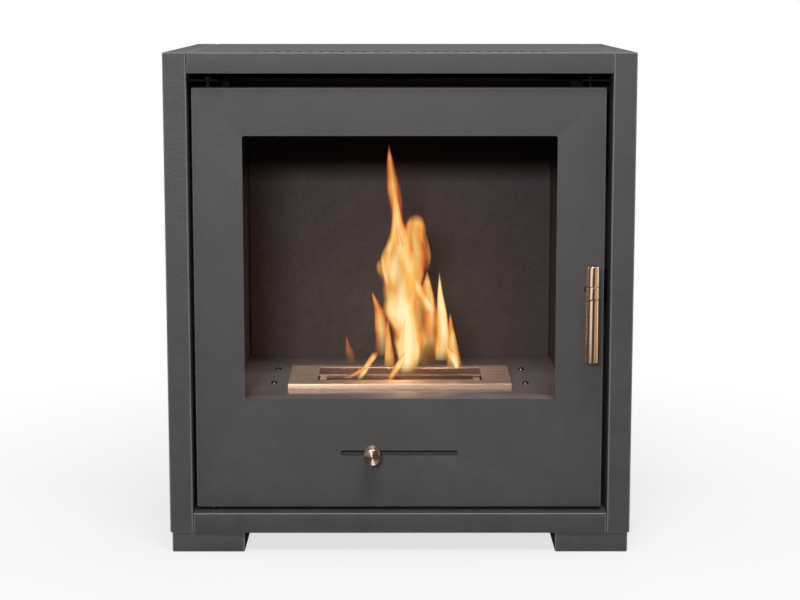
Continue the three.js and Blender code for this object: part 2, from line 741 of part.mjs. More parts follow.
// The cover frame: a low tray turned down all round, with the opening over the lid, a finger
// notch in the rear edge of the opening, and a way out at the back for the open lid.
function burnerFrame() {
  const bottom = deckTop + SEAM;
  const limits = [[-burnerHalf, burnerHalf], [BURNER_SETBACK, burnerRear], [bottom, frameTop]];
  const through = [bottom, frameTop + 1];
  const opening = block(
    [-frameOpeningHalf, frameOpeningHalf],
    [frameOpeningFront, frameOpeningRear],
    through,
  );
  const notch = block(
    [-NOTCH_WIDTH / 2, NOTCH_WIDTH / 2],
    [frameOpeningRear - 1, frameOpeningRear + NOTCH_DEPTH],
    through,
  );
  const lidWay = block(
    [-lidHalf - RUNNING, lidHalf + RUNNING],
    [burnerRear - 2 * BURNER_SHEET, burnerRear + 1],
    [bottom - 1, lidTop + RUNNING],
  );
  return foldedTray(limits, "-z", BURNER_SHEET, BURNER_BEND)
    .subtract(opening.add(notch))
    .subtract(lidWay);
}

// The tank hangs through the deck on its top plate, which holds the fuel slot and the
// two slots that the drive rods run in.
function burnerTank() {
  const inset = BURNER_SHEET + SEAM;
  const plate = block(
    [-burnerHalf + inset, burnerHalf - inset],
    [BURNER_SETBACK + inset, burnerRear - inset],
    [deckTop + SEAM, tankTop],
  );
  const box = block([-tankHalf, tankHalf], [tankFront, tankRear], [tankBottom, tankTop]);
  const hollow = block(
    [-tankHalf + BURNER_SHEET, tankHalf - BURNER_SHEET],
    [tankFront + BURNER_SHEET, tankRear - BURNER_SHEET],
    [tankBottom + BURNER_SHEET, tankTop - BURNER_SHEET],
  );
  const fuelShape = rectangle([-FUEL_SLOT_WIDTH / 2, FUEL_SLOT_WIDTH / 2], [fuelFront, fuelRear], 1);
  const fuelSlot = alongZ(fuelShape, [tankTop - 2 * BURNER_SHEET, tankTop + 1]);
  return plate.add(box).subtract(hollow).subtract(fuelSlot).subtract(rodSlots([deckTop, tankTop + 1]));
}

// The straight ways of the two drive rods.
function rodSlots(z) {
  const slots = [-rodX, rodX].map((x) => {
    const shape = slotShape([x, rodY - rodForward], [x, rodY + rodBackward], rodSlotWidth);
    return alongZ(shape, z, 4);
  });
  return slots[0].add(slots[1]);
}

function fibrePad() {
  const inset = BURNER_SHEET + SEAM;
  const bottom = tankBottom + inset;
  return foldedBlock(
    [-tankHalf + inset, tankHalf - inset],
    [tankFront + inset, tankRear - inset],
    [bottom, bottom + PAD_HEIGHT],
  );
}

// The lid: a plate turned down along all its edges, which run on the tank's top plate.
function burnerLid() {
  const limits = [[-lidHalf, lidHalf], [lidFront, lidFront + LID_DEPTH], [lidBottom, lidTop]];
  return foldedTray(limits, "-z", LID_SHEET, LID_BEND);
}

function lidRod() {
  return rod(ROD_DIAMETER / 2, [trayUnderside - ROD_BELOW_TRAY, lidTop - LID_SHEET - SEAM], 12);
}

// ---------- Cam drive ----------

// The cam bar, about the stem of the knob at rest: each slanting slot turns a run to the
// right into a run of its drive rod to the front. The tongue carries the drive pin.
function camBar() {
  const tongue = [-CAM_TONGUE_WIDTH / 2, CAM_TONGUE_WIDTH / 2];
  const left = camLeft - KNOB_START;
  const right = camRight - KNOB_START;
  const outline = new THREE.Shape([
    new THREE.Vector2(left, camFront),
    new THREE.Vector2(tongue[0], camFront),
    new THREE.Vector2(tongue[0], pinY - CAM_TONGUE_WIDTH / 2),
    new THREE.Vector2(tongue[1], pinY - CAM_TONGUE_WIDTH / 2),
    new THREE.Vector2(tongue[1], camFront),
    new THREE.Vector2(right, camFront),
    new THREE.Vector2(right, camRear),
    new THREE.Vector2(left, camRear),
  ]);
  for (const x of [-rodX - KNOB_START, rodX - KNOB_START]) {
    const closedEnd = [x - knobRightTravel, rodY - rodForward];
    const openEnd = [x + knobLeftTravel, rodY + rodBackward];
    outline.holes.push(slotShape(closedEnd, openEnd, rodSlotWidth));
  }
  const pinHole = moved(rod(DRIVE_PIN_RIVET / 2 + SEAM, [camUnderside - 1, camTop + 1]), 0, pinY, 0);
  return alongZ(outline, [camUnderside, camTop], 4).subtract(pinHole);
}

function drivePin() {
  const shoulder = camTop + SEAM;
  const top = knobZ + CARRIAGE_SHEET / 2 + DRIVE_PIN_RISE;
  return turned([
    [0, camUnderside],
    [DRIVE_PIN_RIVET / 2, camUnderside],
    [DRIVE_PIN_RIVET / 2, shoulder],
    [DRIVE_PIN / 2, shoulder],
    [DRIVE_PIN / 2, top - DRIVE_PIN_CHAMFER],
    [DRIVE_PIN / 2 - DRIVE_PIN_CHAMFER, top],
    [0, top],
  ]);
}

// The tray that the cam bar slides in: a floor with the straight slots of the rods, a
// wall in front and behind, and four straps up to the deck.
function camTray() {
  const half = TRAY_LENGTH / 2;
  const x = [-half, half];
  const front = camFront - RUNNING - TRAY_SHEET;
  const rear = camRear + RUNNING + TRAY_SHEET;
  const wallTop = camTop + TRAY_WALL;
  const channel = block(x, [front, rear], [trayUnderside, wallTop]);
  const above = [trayTop, wallTop + 1];
  const inside = block([-half - 1, half + 1], [front + TRAY_SHEET, rear - TRAY_SHEET], above);
  const beside = CAM_TONGUE_WIDTH / 2 + GATE_CLEARANCE;
  const gateLeft = KNOB_START - knobLeftTravel - beside;
  const gateRight = KNOB_START + knobRightTravel + beside;
  const gate = block([gateLeft, gateRight], [front - 1, front + 2 * TRAY_SHEET], above);
  const open = channel.subtract(inside).subtract(gate);
  const straps = [];
  const top = deckUnderside - SEAM;
  const frontPath = [
    [front - STRAP_TAB, top],
    [front + TRAY_SHEET, top],
    [front + TRAY_SHEET, trayUnderside],
  ];
  const rearPath = [
    [rear - TRAY_SHEET, trayUnderside],
    [rear - TRAY_SHEET, top],
    [rear + STRAP_TAB, top],
  ];
  for (const middle of [-STRAP_MIDDLE, STRAP_MIDDLE]) {
    const width = [middle - STRAP_WIDTH / 2, middle + STRAP_WIDTH / 2];
    straps.push(alongX(foldedSection(frontPath, -TRAY_SHEET), width));
    straps.push(alongX(foldedSection(rearPath, -TRAY_SHEET), width));
  }
  const ways = rodSlots([trayUnderside - 1, trayTop + 1]);
  return straps.reduce((all, strap) => all.add(strap), open).subtract(ways);
}

// ---------- Door ----------

function doorPanel() {
  const z = [doorBottom, doorTop];
  const pan = foldedTray([[doorLeft, doorRight], [doorFace, doorRim], z], "+y", DOOR_SHEET);
  const skin = [doorFace - 1, doorInside + 1];
  const outline = rectangle([-windowHalf, windowHalf], [windowBottom, windowTop], WINDOW_CORNER);
  const window = alongY(outline, skin);
  const reach = (KNOB_SLOT_LENGTH - knobSlotHeight) / 2;
  const knobSlot = slotShape([doorMiddle - reach, knobZ], [doorMiddle + reach, knobZ], knobSlotHeight);
  const spindleBore = SPINDLE_DIAMETER / 2 + RUNNING + SPINDLE_BUSH_WALL + SEAM;
  return pan
    .subtract(window)
    .subtract(alongY(knobSlot, skin, 5))
    .subtract(moved(rodAlongY(spindleBore, skin), handleX, 0, handleZ))
    .subtract(moved(rod(bushRadius + SEAM, [z[0] - 1, z[1] + 1]), hingeX, hingeY, 0));
}

function glassPane() {
  const outline = rectangle([-glassHalf, glassHalf], [glassBottom, glassTop], WINDOW_CORNER);
  return alongY(outline, [glassFace, glassBack]);
}

function glassSeal() {
  const outline = rectangle([-glassHalf, glassHalf], [glassBottom, glassTop], WINDOW_CORNER);
  const inner = [-glassHalf + SEAL_WIDTH, glassHalf - SEAL_WIDTH];
  outline.holes.push(rectangle(inner, [glassBottom + SEAL_WIDTH, glassTop - SEAL_WIDTH], WINDOW_CORNER));
  return alongY(outline, [doorInside + SEAM, glassFace - SEAM]);
}

// A clip at the right edge of the glass, about its own height: a foot on the door, a
// riser beside the glass and a lip over it.
function glassClip() {
  const riser = glassHalf + SEAM;
  const foot = doorInside + SEAM;
  const lip = glassBack + SEAM;
  const path = [
    [riser + RAIL_SHEET + CLIP_FOOT, foot],
    [riser, foot],
    [riser, lip],
    [riser - CLIP_GRIP, lip],
  ];
  return alongZ(foldedSection(path, -RAIL_SHEET), [-CLIP_HEIGHT / 2, CLIP_HEIGHT / 2]);
}

// A flanged bush about the hinge axis, with its rim below and its rim's upper face at zero.
function hingeBush() {
  const bore = HINGE_PIN / 2 + RUNNING;
  const rim = bushRadius + BUSH_RIM_WIDTH;
  return turned([
    [bore, -BUSH_RIM],
    [rim, -BUSH_RIM],
    [rim, 0],
    [bushRadius, 0],
    [bushRadius, BUSH_LENGTH],
    [bore, BUSH_LENGTH],
    [bore, -BUSH_RIM],
  ]);
}

// The upper rail about the slot's middle: a foot on the door, a riser above the carriage
// and a lip behind it.
function slideRail() {
  const riser = CARRIAGE_HEIGHT / 2 + RUNNING;
  const foot = doorInside + SEAM;
  const lip = carriageBack + RUNNING;
  const path = [
    [foot, riser + RAIL_SHEET + RAIL_FOOT],
    [foot, riser],
    [lip, riser],
    [lip, riser - RAIL_LIP],
  ];
  return alongX(foldedSection(path, RAIL_SHEET), [-RAIL_LENGTH / 2, RAIL_LENGTH / 2]);
}

// ---------- Knob, about the axis of its stem ----------

function knob() {
  const radius = KNOB_DIAMETER / 2;
  const bore = STEM_DIAMETER / 2 + SEAM;
  const boreEnd = knobBack - STEM_IN_KNOB - SEAM;
  const profile = [
    [0, knobFront],
    [radius - KNOB_EDGE, knobFront],
    [radius, knobFront + KNOB_EDGE],
    [radius, knobBack - KNOB_EDGE],
    [radius - KNOB_EDGE, knobBack],
    [bore, knobBack],
    [bore, boreEnd],
    [0, boreEnd],
  ];
  return turnedAlongY(profile, 40);
}

function knobWasher() {
  const bore = STEM_DIAMETER / 2 + SEAM;
  const y = [doorFace - SEAM - KNOB_WASHER, doorFace - SEAM];
  return turnedAlongY(tubeProfile(bore, WASHER_DIAMETER / 2, y), 24);
}

function knobStem() {
  return rodAlongY(STEM_DIAMETER / 2, [knobBack - STEM_IN_KNOB, carriageBack], 16);
}

// The carriage: a long plate between the door and its rails, which closes the slot from
// behind wherever the knob stands, with an arm that ends in the fork.
function knobCarriage() {
  const length = [-carriageHalf, carriageHalf];
  const height = [-CARRIAGE_HEIGHT / 2, CARRIAGE_HEIGHT / 2];
  const plate = block(length, [carriageFace, carriageBack], height);
  const notch = DRIVE_PIN / 2 + FORK_CLEARANCE;
  const side = FORK_WIDTH / 2;
  const root = carriageBack - CARRIAGE_SHEET / 2;
  const fork = new THREE.Shape([
    new THREE.Vector2(-side, root),
    new THREE.Vector2(side, root),
    new THREE.Vector2(side, forkTip - FORK_CHAMFER),
    new THREE.Vector2(side - FORK_CHAMFER, forkTip),
    new THREE.Vector2(notch + FORK_LEAD_IN, forkTip),
    new THREE.Vector2(notch, forkTip - FORK_LEAD_IN),
    new THREE.Vector2(notch, forkTip - FORK_DEPTH),
    new THREE.Vector2(-notch, forkTip - FORK_DEPTH),
    new THREE.Vector2(-notch, forkTip - FORK_LEAD_IN),
    new THREE.Vector2(-notch - FORK_LEAD_IN, forkTip),
    new THREE.Vector2(-side + FORK_CHAMFER, forkTip),
    new THREE.Vector2(-side, forkTip - FORK_CHAMFER),
  ]);
  const arm = alongZ(fork, [-CARRIAGE_SHEET / 2, CARRIAGE_SHEET / 2]);
  const stemHole = rodAlongY(STEM_DIAMETER / 2 + SEAM, [carriageFace - 1, carriageBack + SEAM]);
  return plate.add(arm).subtract(stemHole);
}

// ---------- Handle, about the axis of its spindle ----------

function handleGrip(length) {
  const radius = HANDLE_DIAMETER / 2;
  const bore = SPIGOT_DIAMETER / 2 + SEAM;
  const boreEnd = SPIGOT_LENGTH - HANDLE_GROOVE + SEAM;
  const profile = [
    [bore, 0],
    [radius - HANDLE_EDGE / 2, 0],
    [radius, HANDLE_EDGE / 2],
    [radius, length - HANDLE_EDGE],
    [radius - HANDLE_EDGE, length],
    [0, length],
    [0, boreEnd],
    [bore, boreEnd],
    [bore, 0],
  ];
  return profile;
}

function handleCollar() {
  const half = HANDLE_COLLAR / 2;
  const radius = HANDLE_DIAMETER / 2;
  const end = half + SPIGOT_LENGTH;
  const bar = turned(
    [
      [0, -end],
      [SPIGOT_DIAMETER / 2, -end],
      [SPIGOT_DIAMETER / 2, -half],
      [radius - HANDLE_EDGE / 2, -half],
      [radius, -half + HANDLE_EDGE / 2],
      [radius, half - HANDLE_EDGE / 2],
      [radius - HANDLE_EDGE / 2, half],
      [SPIGOT_DIAMETER / 2, half],
      [SPIGOT_DIAMETER / 2, end],
      [0, end],
    ],
    32,
  );
  const holeStart = radius - SPINDLE_IN_COLLAR - SEAM;
  const spindleSocket = rodAlongY(SPINDLE_DIAMETER / 2 + SEAM, [holeStart, radius + 1]);
  return moved(bar.subtract(spindleSocket), 0, handleY, 0);
}

function handleSpindle() {
  const start = handleY + HANDLE_DIAMETER / 2 - SPINDLE_IN_COLLAR;
  return rodAlongY(SPINDLE_DIAMETER / 2, [start, nutBack + SPINDLE_END]);
}

function spindleBush() {
  const outer = spindleHole + SPINDLE_BUSH_WALL;
  const rimFace = doorFace - SEAM - SPINDLE_RIM_THICKNESS;
  const rimBack = doorFace - SEAM;
  return turnedAlongY(
    [
      [spindleHole, rimFace],
      [SPINDLE_RIM / 2 - HANDLE_EDGE, rimFace],
      [SPINDLE_RIM / 2, rimFace + HANDLE_EDGE],
      [SPINDLE_RIM / 2, rimBack],
      [outer, rimBack],
      [outer, rimBack + SPINDLE_BUSH_LENGTH],
      [spindleHole, rimBack + SPINDLE_BUSH_LENGTH],
      [spindleHole, rimFace],
    ],
    24,
  );
}

function latchSpacer() {
  const from = doorFace + SPINDLE_BUSH_LENGTH;
  return turnedAlongY(tubeProfile(spindleHole, spindleHole + SPACER_WALL, [from, tongueFace - SEAM]));
}

// The tongue: a hub on the spindle and an arm to the right that ends in a round tip.
function latchTongue() {
  const tipX = TONGUE_REACH - TONGUE_TIP;
  const lean = Math.acos((TONGUE_HUB - TONGUE_TIP) / tipX);
  const shape = new THREE.Shape();
  shape.absarc(0, 0, TONGUE_HUB, lean, 2 * Math.PI - lean);
  shape.absarc(tipX, 0, TONGUE_TIP, -lean, lean);
  const plate = alongY(shape, [tongueFace, tongueBack], 8);
  return plate.subtract(rodAlongY(spindleHole, [tongueFace - 1, tongueBack + 1]));
}

function spindleNut() {
  const corner = NUT_ACROSS_FLATS / 2 / Math.cos(Math.PI / 6);
  const y = [tongueBack + SEAM, nutBack];
  return rodAlongY(corner, y, 6).subtract(rodAlongY(spindleHole, [y[0] - 1, y[1] + 1]));
}

// ---------- Assembly ----------

const fireplace = new THREE.Group();
const stove = group(fireplace, 0, frontY, 0);

// Adds a solid made for the right-hand side there, and mirrored on the left.
function placeBothSides(parent, name, shape, material, z = 0) {
  const right = group(parent, 0, 0, z);
  const left = group(parent, 0, 0, z);
  left.scale.x = -1;
  place(right, name + "_right", shape, material);
  place(left, name + "_left", shape, material);
}

const cabinet = group(stove, 0, 0, 0);
placeBothSides(cabinet, "side_panel", sidePanel(), bodyPaint);
place(cabinet, "top_panel", topPanel(), bodyPaint);
place(cabinet, "bottom_panel", bottomPanel(), bodyPaint);
place(cabinet, "rear_panel", rearPanel(), bodyPaint);
const footAt = { front: footMiddle, rear: DEPTH - footMiddle };
for (const [row, y] of Object.entries(footAt)) {
  for (const [side, sign] of [["left", -1], ["right", 1]]) {
    const mesh = place(cabinet, `foot_${row}_${side}`, foot(), bodyPaint);
    mesh.position.set(sign * (halfWidth - footMiddle), y, 0);
  }
}

const firebox = group(stove, 0, 0, 0);
placeBothSides(firebox, "firebox_wall", fireboxWall(), linerPaint);
place(firebox, "firebox_back", fireboxBack(), linerPaint);
place(firebox, "baffle", baffle(), linerPaint);
place(firebox, "deck_plate", deckPlate(), stainless);
placeBothSides(firebox, "deck_rail", deckRail(), zincSteel);

const fittings = group(stove, 0, 0, 0);
const stopY = doorRim + STOP_CLEARANCE + STOP_PIN / 2;
const hingeBracket = upperBracket(-hingeX, hingeY, HINGE_PIN / 2);
const mirrored = group(fittings, 0, 0, 0);
mirrored.scale.x = -1;
place(mirrored, "hinge_bracket", hingeBracket, linerPaint);
place(fittings, "stop_bracket", upperBracket(-hingeX, stopY, STOP_PIN / 2), linerPaint);
const pinBottom = doorTop - DOOR_SHEET - PIN_ENGAGEMENT;
const upperPin = place(fittings, "hinge_pin_upper", headedPin(HINGE_PIN / 2, pinBottom), blackSteel);
upperPin.position.set(hingeX, hingeY, 0);
place(fittings, "hinge_pin_lower", lowerHingePin(), blackSteel).position.set(hingeX, hingeY, 0);
place(fittings, "stop_pin", headedPin(STOP_PIN / 2, pinBottom), blackSteel).position.set(-hingeX, stopY, 0);
place(fittings, "latch_keeper", latchKeeper(), blackSteel);

const burner = group(stove, 0, 0, 0);
place(burner, "burner_frame", burnerFrame(), stainless);
place(burner, "burner_tank", burnerTank(), stainless);
place(burner, "fibre_pad", fibrePad(), fibre);
place(burner, "cam_tray", camTray(), zincSteel);

const lid = group(stove, 0, 0, 0);
place(lid, "burner_lid", burnerLid(), stainless);
place(lid, "lid_rod_left", lidRod(), zincSteel).position.set(-rodX, rodY, 0);
place(lid, "lid_rod_right", lidRod(), zincSteel).position.set(rodX, rodY, 0);

const cam = group(stove, KNOB_START, 0, 0);
place(cam, "cam_bar", camBar(), zincSteel);
place(cam, "drive_pin", drivePin(), zincSteel).position.set(0, pinY, 0);

const door = group(stove, 0, 0, 0);
place(door, "door_panel", doorPanel(), bodyPaint);
place(door, "glass_pane", glassPane(), glass);
place(door, "glass_seal", glassSeal(), sealCord);
placeBothSides(door, "glass_clip_upper", glassClip(), zincSteel, glassTop - CLIP_FROM_END);
placeBothSides(door, "glass_clip_lower", glassClip(), zincSteel, glassBottom + CLIP_FROM_END);
const upperBush = place(door, "hinge_bush_upper", hingeBush(), brass);
upperBush.position.set(hingeX, hingeY, doorTop + SEAM);
upperBush.rotation.x = Math.PI;
place(door, "hinge_bush_lower", hingeBush(), brass).position.set(hingeX, hingeY, doorBottom - SEAM);
place(door, "slide_rail_upper", slideRail(), zincSteel).position.set(doorMiddle, 0, knobZ);
const lowerRail = group(door, doorMiddle, 0, knobZ);
lowerRail.scale.z = -1;
place(lowerRail, "slide_rail_lower", slideRail(), zincSteel);

const knobGroup = group(door, KNOB_START, 0, knobZ);
place(knobGroup, "knob", knob(), copper);
place(knobGroup, "knob_washer", knobWasher(), nylon);
place(knobGroup, "knob_stem", knobStem(), zincSteel);
place(knobGroup, "knob_carriage", knobCarriage(), bodyPaint);

const handle = group(door, handleX, 0, handleZ);
place(handle, "handle_collar", handleCollar(), copper);
const gripStart = HANDLE_COLLAR / 2 + HANDLE_GROOVE;
const upperGrip = place(handle, "handle_grip_upper", turned(handleGrip(HANDLE_UPPER), 32), copper);
upperGrip.position.set(0, handleY, gripStart);
const lowerGrip = place(handle, "handle_grip_lower", turned(handleGrip(HANDLE_LOWER), 32), copper);
lowerGrip.position.set(0, handleY, -gripStart);
lowerGrip.rotation.x = Math.PI;
place(handle, "handle_spindle", handleSpindle(), zincSteel);
place(handle, "spindle_bush", spindleBush(), brass);
place(handle, "latch_spacer", latchSpacer(), zincSteel);
place(handle, "latch_tongue", latchTongue(), blackSteel);
place(handle, "spindle_nut", spindleNut(), zincSteel);

export default fireplace;
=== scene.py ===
import json
import math

import bmesh
import bpy
from mathutils import Matrix, Vector


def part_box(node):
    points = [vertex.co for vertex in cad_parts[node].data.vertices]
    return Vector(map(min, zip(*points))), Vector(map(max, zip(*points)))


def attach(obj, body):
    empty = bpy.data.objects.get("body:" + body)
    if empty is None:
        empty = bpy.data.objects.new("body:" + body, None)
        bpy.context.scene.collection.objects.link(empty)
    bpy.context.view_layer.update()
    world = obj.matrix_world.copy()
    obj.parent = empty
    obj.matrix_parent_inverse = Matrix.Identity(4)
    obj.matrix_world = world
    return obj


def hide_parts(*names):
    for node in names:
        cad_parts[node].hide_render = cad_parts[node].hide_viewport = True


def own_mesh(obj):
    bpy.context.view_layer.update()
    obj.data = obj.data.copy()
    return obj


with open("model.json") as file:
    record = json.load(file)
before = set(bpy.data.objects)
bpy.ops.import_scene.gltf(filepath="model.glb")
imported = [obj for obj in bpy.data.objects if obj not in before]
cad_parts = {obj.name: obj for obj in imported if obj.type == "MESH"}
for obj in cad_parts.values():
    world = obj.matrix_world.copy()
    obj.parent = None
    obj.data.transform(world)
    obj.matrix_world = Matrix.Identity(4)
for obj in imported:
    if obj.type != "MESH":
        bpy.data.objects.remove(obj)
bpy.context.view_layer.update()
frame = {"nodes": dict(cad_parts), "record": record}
parts = frame["nodes"]

# ---------- Places on the fireplace, in metres ----------

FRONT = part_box("side_panel_left")[0].y
DECK_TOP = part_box("deck_plate")[1].z
LID_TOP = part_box("burner_lid")[1].z
DOOR_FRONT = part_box("door_panel")[0].y
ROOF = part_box("top_panel")[1].z
GRIP_RADIUS = 0.007


def middle_of(node):
    """The middle of a solid's box."""
    low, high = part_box(node)
    return (low + high) / 2


KNOB_MIDDLE = middle_of("knob")
HANDLE_MIDDLE = middle_of("handle_collar")
HANDLE_AXIS = (HANDLE_MIDDLE.x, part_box("handle_grip_lower")[0].y + GRIP_RADIUS, HANDLE_MIDDLE.z)


def from_front(millimetres):
    """The place of something that far behind the front of the cabinet."""
    return FRONT + millimetres / 1000


# ---------- Finishes ----------


class Nodes:
    """The nodes of a material or of the world."""

    def __init__(self, owner):
        owner.use_nodes = True
        self.tree = owner.node_tree
        self.tree.nodes.clear()

    def node(self, kind, **settings):
        made = self.tree.nodes.new(kind)
        for name, value in settings.items():
            setattr(made, name, value)
        return made

    def join(self, source, target):
        self.tree.links.new(source, target)

    def calculate(self, operation, first, second=0.0):
        made = self.node("ShaderNodeMath", operation=operation)
        for socket, value in zip(made.inputs, (first, second)):
            if isinstance(value, (int, float)):
                socket.default_value = value
            else:
                self.join(value, socket)
        return made.outputs["Value"]

    def ramp(self, source, stops):
        made = self.node("ShaderNodeValToRGB")
        elements = made.color_ramp.elements
        while len(elements) < len(stops):
            elements.new(0.5)
        for element, (place, colour) in zip(elements, stops):
            element.position = place
            element.color = (*colour, 1)
        self.join(source, made.inputs["Fac"])
        return made.outputs["Color"]

    def mixed_shader(self, share, first, second):
        """The first shader where the share is none, the second where it is one."""
        made = self.node("ShaderNodeMixShader")
        for socket, source in zip(made.inputs, (share, first, second)):
            self.join(source, socket)
        return made.outputs["Shader"]


class Finish(Nodes):
    """A material whose colour, gloss and relief are made by nodes round one shader."""

    def __init__(self, name, colour=(0.5, 0.5, 0.5), roughness=0.5, metallic=0.0):
        self.material = bpy.data.materials.new(name)
        super().__init__(self.material)
        self.end = self.node("ShaderNodeOutputMaterial")
        self.shader = self.node("ShaderNodeBsdfPrincipled")
        self.join(self.shader.outputs["BSDF"], self.end.inputs["Surface"])
        self.set("Base Color", (*colour, 1))
        self.set("Roughness", roughness)
        self.set("Metallic", metallic)

    def set(self, socket, value):
        self.shader.inputs[socket].default_value = value

    def drive(self, socket, source):
        self.join(source, self.shader.inputs[socket])

    def places(self, stretch=(1, 1, 1)):
        """Object coordinates, stretched along the axes."""
        coordinates = self.node("ShaderNodeTexCoord")
        mapping = self.node("ShaderNodeMapping")
        mapping.inputs["Scale"].default_value = stretch
        self.join(coordinates.outputs["Object"], mapping.inputs["Vector"])
        return mapping.outputs["Vector"]

    def noise(self, places, scale, detail=3.0, roughness=0.5, distortion=0.0):
        texture = self.node("ShaderNodeTexNoise")
        texture.inputs["Scale"].default_value = scale
        texture.inputs["Detail"].default_value = detail
        texture.inputs["Roughness"].default_value = roughness
        texture.inputs["Distortion"].default_value = distortion
        self.join(places, texture.inputs["Vector"])
        return texture.outputs["Fac"]

    def range(self, source, low, high, from_low=0.3, from_high=0.7):
        """A source's own range, mostly that of a noise, carried over to low and high."""
        made = self.node("ShaderNodeMapRange")
        for name, value in (
            ("From Min", from_low),
            ("From Max", from_high),
            ("To Min", low),
            ("To Max", high),
        ):
            made.inputs[name].default_value = value
        self.join(source, made.inputs["Value"])
        return made.outputs["Result"]

    def blended(self, share, tone, colour):
        """A tone that goes over into a colour where the share is one."""
        made = self.node("ShaderNodeMix", data_type="RGBA")
        self.join(share, made.inputs["Factor"])
        self.join(tone, made.inputs["A"])
        made.inputs["B"].default_value = (*colour, 1)
        return made.outputs["Result"]

    def relief(self, height, depth, before=None):
        """Fine hills and hollows of a depth in metres, on top of a relief from before."""
        made = self.node("ShaderNodeBump")
        made.inputs["Strength"].default_value = 1.0
        made.inputs["Distance"].default_value = depth
        self.join(height, made.inputs["Height"])
        if before is not None:
            self.join(before, made.inputs["Normal"])
        return made.outputs["Normal"]


def shaded(colour, share):
    """A colour that is darker by a share below one, or lighter by one above it."""
    return tuple(c * share for c in colour)


# The paint's patterns, in swells per metre.
PAINT_GRAINS = 620
PAINT_SWELLS = 330
PAINT_MOTTLES = 70
PAINT_CLOUDS = 9

# Painted highlights make the paint paler on bends, and painted shade makes it darker, by these shares.
BEND_HIGHLIGHT_TONE = 2.8
SHADE_TONE = 0.1

# Where the painted bend highlight starts and is full, and how the painted shade in the vent slots
# fades out just below the roof and in from the front.
BEND_HIGHLIGHT_LIMITS = (0.02, 0.14)
SLOT_RIM = (0.00006, 0.00014)
SLOT_FADE = 0.002


def bend_highlight_share(finish):
    """The share of painted highlight: one halfway round a bend, none where a surface is flat along an
    axis.
    """
    coordinates = finish.node("ShaderNodeTexCoord")
    split = finish.node("ShaderNodeSeparateXYZ")
    finish.join(coordinates.outputs["Normal"], split.inputs["Vector"])
    x, y, z = [finish.calculate("MULTIPLY", out, out) for out in split.outputs]
    pairs = [finish.calculate("MULTIPLY", first, second) for first, second in ((x, y), (y, z), (x, z))]
    total = finish.calculate("ADD", finish.calculate("ADD", pairs[0], pairs[1]), pairs[2])
    return finish.range(total, 0.0, 1.0, *BEND_HIGHLIGHT_LIMITS)


def shade_upwards(paint, split, low, high):
    """Painted shade: none below the low height, one above the high height."""
    return paint.range(split.outputs["Z"], 0.0, 1.0, low, high)


def shade_in_slots(paint, split, depth, height):
    """Painted shade: one behind a depth and below a height, where the sheet's own edge shows in a
    slot.
    """
    rim_from, rim_to = SLOT_RIM
    behind = paint.range(split.outputs["Y"], 0.0, 1.0, depth, depth + SLOT_FADE)
    below = paint.range(split.outputs["Z"], 1.0, 0.0, height - rim_to, height - rim_from)
    return paint.calculate("MULTIPLY", behind, below)


def stove_paint(name, colour, roughness, grain, gloss, shade=None, painted_bend_highlight=False):
    """Heat-proof paint on sheet steel: a fine even grain, faintly clouded.

    The shade is a function and its two limits, and tells where the paint is painted nearly black as
    shade. The bends can also be painted paler, as a highlight.
    """
    paint = Finish(name, colour, roughness)
    paint.set("Specular IOR Level", gloss)
    places = paint.places()
    grains = paint.noise(places, PAINT_GRAINS, 3.0, 0.65)
    clouds = paint.noise(places, PAINT_CLOUDS, 4.0, 0.55)
    mottle = paint.noise(places, PAINT_MOTTLES, 3.0, 0.5)
    both = paint.calculate(
        "ADD", paint.calculate("MULTIPLY", clouds, 0.6), paint.calculate("MULTIPLY", mottle, 0.4)
    )
    speckled = paint.calculate("ADD", both, paint.range(grains, -0.3, 0.3))
    stops = [(0.22, shaded(colour, 0.82)), (0.5, colour), (0.8, shaded(colour, 1.2))]
    tone = paint.ramp(speckled, stops)
    if painted_bend_highlight:
        tone = paint.blended(bend_highlight_share(paint), tone, shaded(colour, BEND_HIGHLIGHT_TONE))
    if shade is not None:
        shade_from, *limits = shade
        split = paint.node("ShaderNodeSeparateXYZ")
        paint.join(places, split.inputs["Vector"])
        dark = shade_from(paint, split, *limits)
        tone = paint.blended(dark, tone, shaded(colour, SHADE_TONE))
    paint.drive("Base Color", tone)
    paint.drive("Roughness", paint.range(mottle, roughness - 0.05, roughness + 0.06))
    swell = paint.relief(paint.noise(places, PAINT_SWELLS, 2.0), grain)
    paint.drive("Normal", paint.relief(grains, grain, swell))
    return paint.material


# How closely the marks of brushing lie along the three axes, per metre.
BRUSH_LINES = (7, 1500, 1500)
BRUSH_BANDS = (2, 260, 260)


def brushed_steel(name, colour, roughness, metallic, spread=0.8):
    """Stainless sheet, brushed from left to right. Mirrored lights are drawn out across the lines."""
    steel = Finish(name, colour, roughness, metallic)
    lines = steel.noise(steel.places(BRUSH_LINES), 1, 3.0, 0.65)
    bands = steel.noise(steel.places(BRUSH_BANDS), 1, 2.0, 0.5)
    smears = steel.noise(steel.places(), 24, 4.0, 0.6)
    tone = steel.calculate(
        "ADD", steel.calculate("MULTIPLY", lines, 0.5), steel.calculate("MULTIPLY", bands, 0.5)
    )
    stops = [(0.3, shaded(colour, 0.88)), (0.7, shaded(colour, 1.12))]
    steel.drive("Base Color", steel.ramp(tone, stops))
    worn = steel.calculate(
        "ADD", steel.range(lines, -0.05, 0.07), steel.range(smears, -0.03, 0.05)
    )
    steel.drive("Roughness", steel.calculate("ADD", worn, roughness))
    steel.drive("Normal", steel.relief(lines, 0.000012))
    surface = steel.node("ShaderNodeTexCoord")
    over_lines = steel.node("ShaderNodeVectorMath", operation="CROSS_PRODUCT")
    steel.join(surface.outputs["Normal"], over_lines.inputs[0])
    over_lines.inputs[1].default_value = (1, 0, 0)
    steel.set("Anisotropic", spread)
    steel.drive("Tangent", over_lines.outputs["Vector"])
    return steel.material


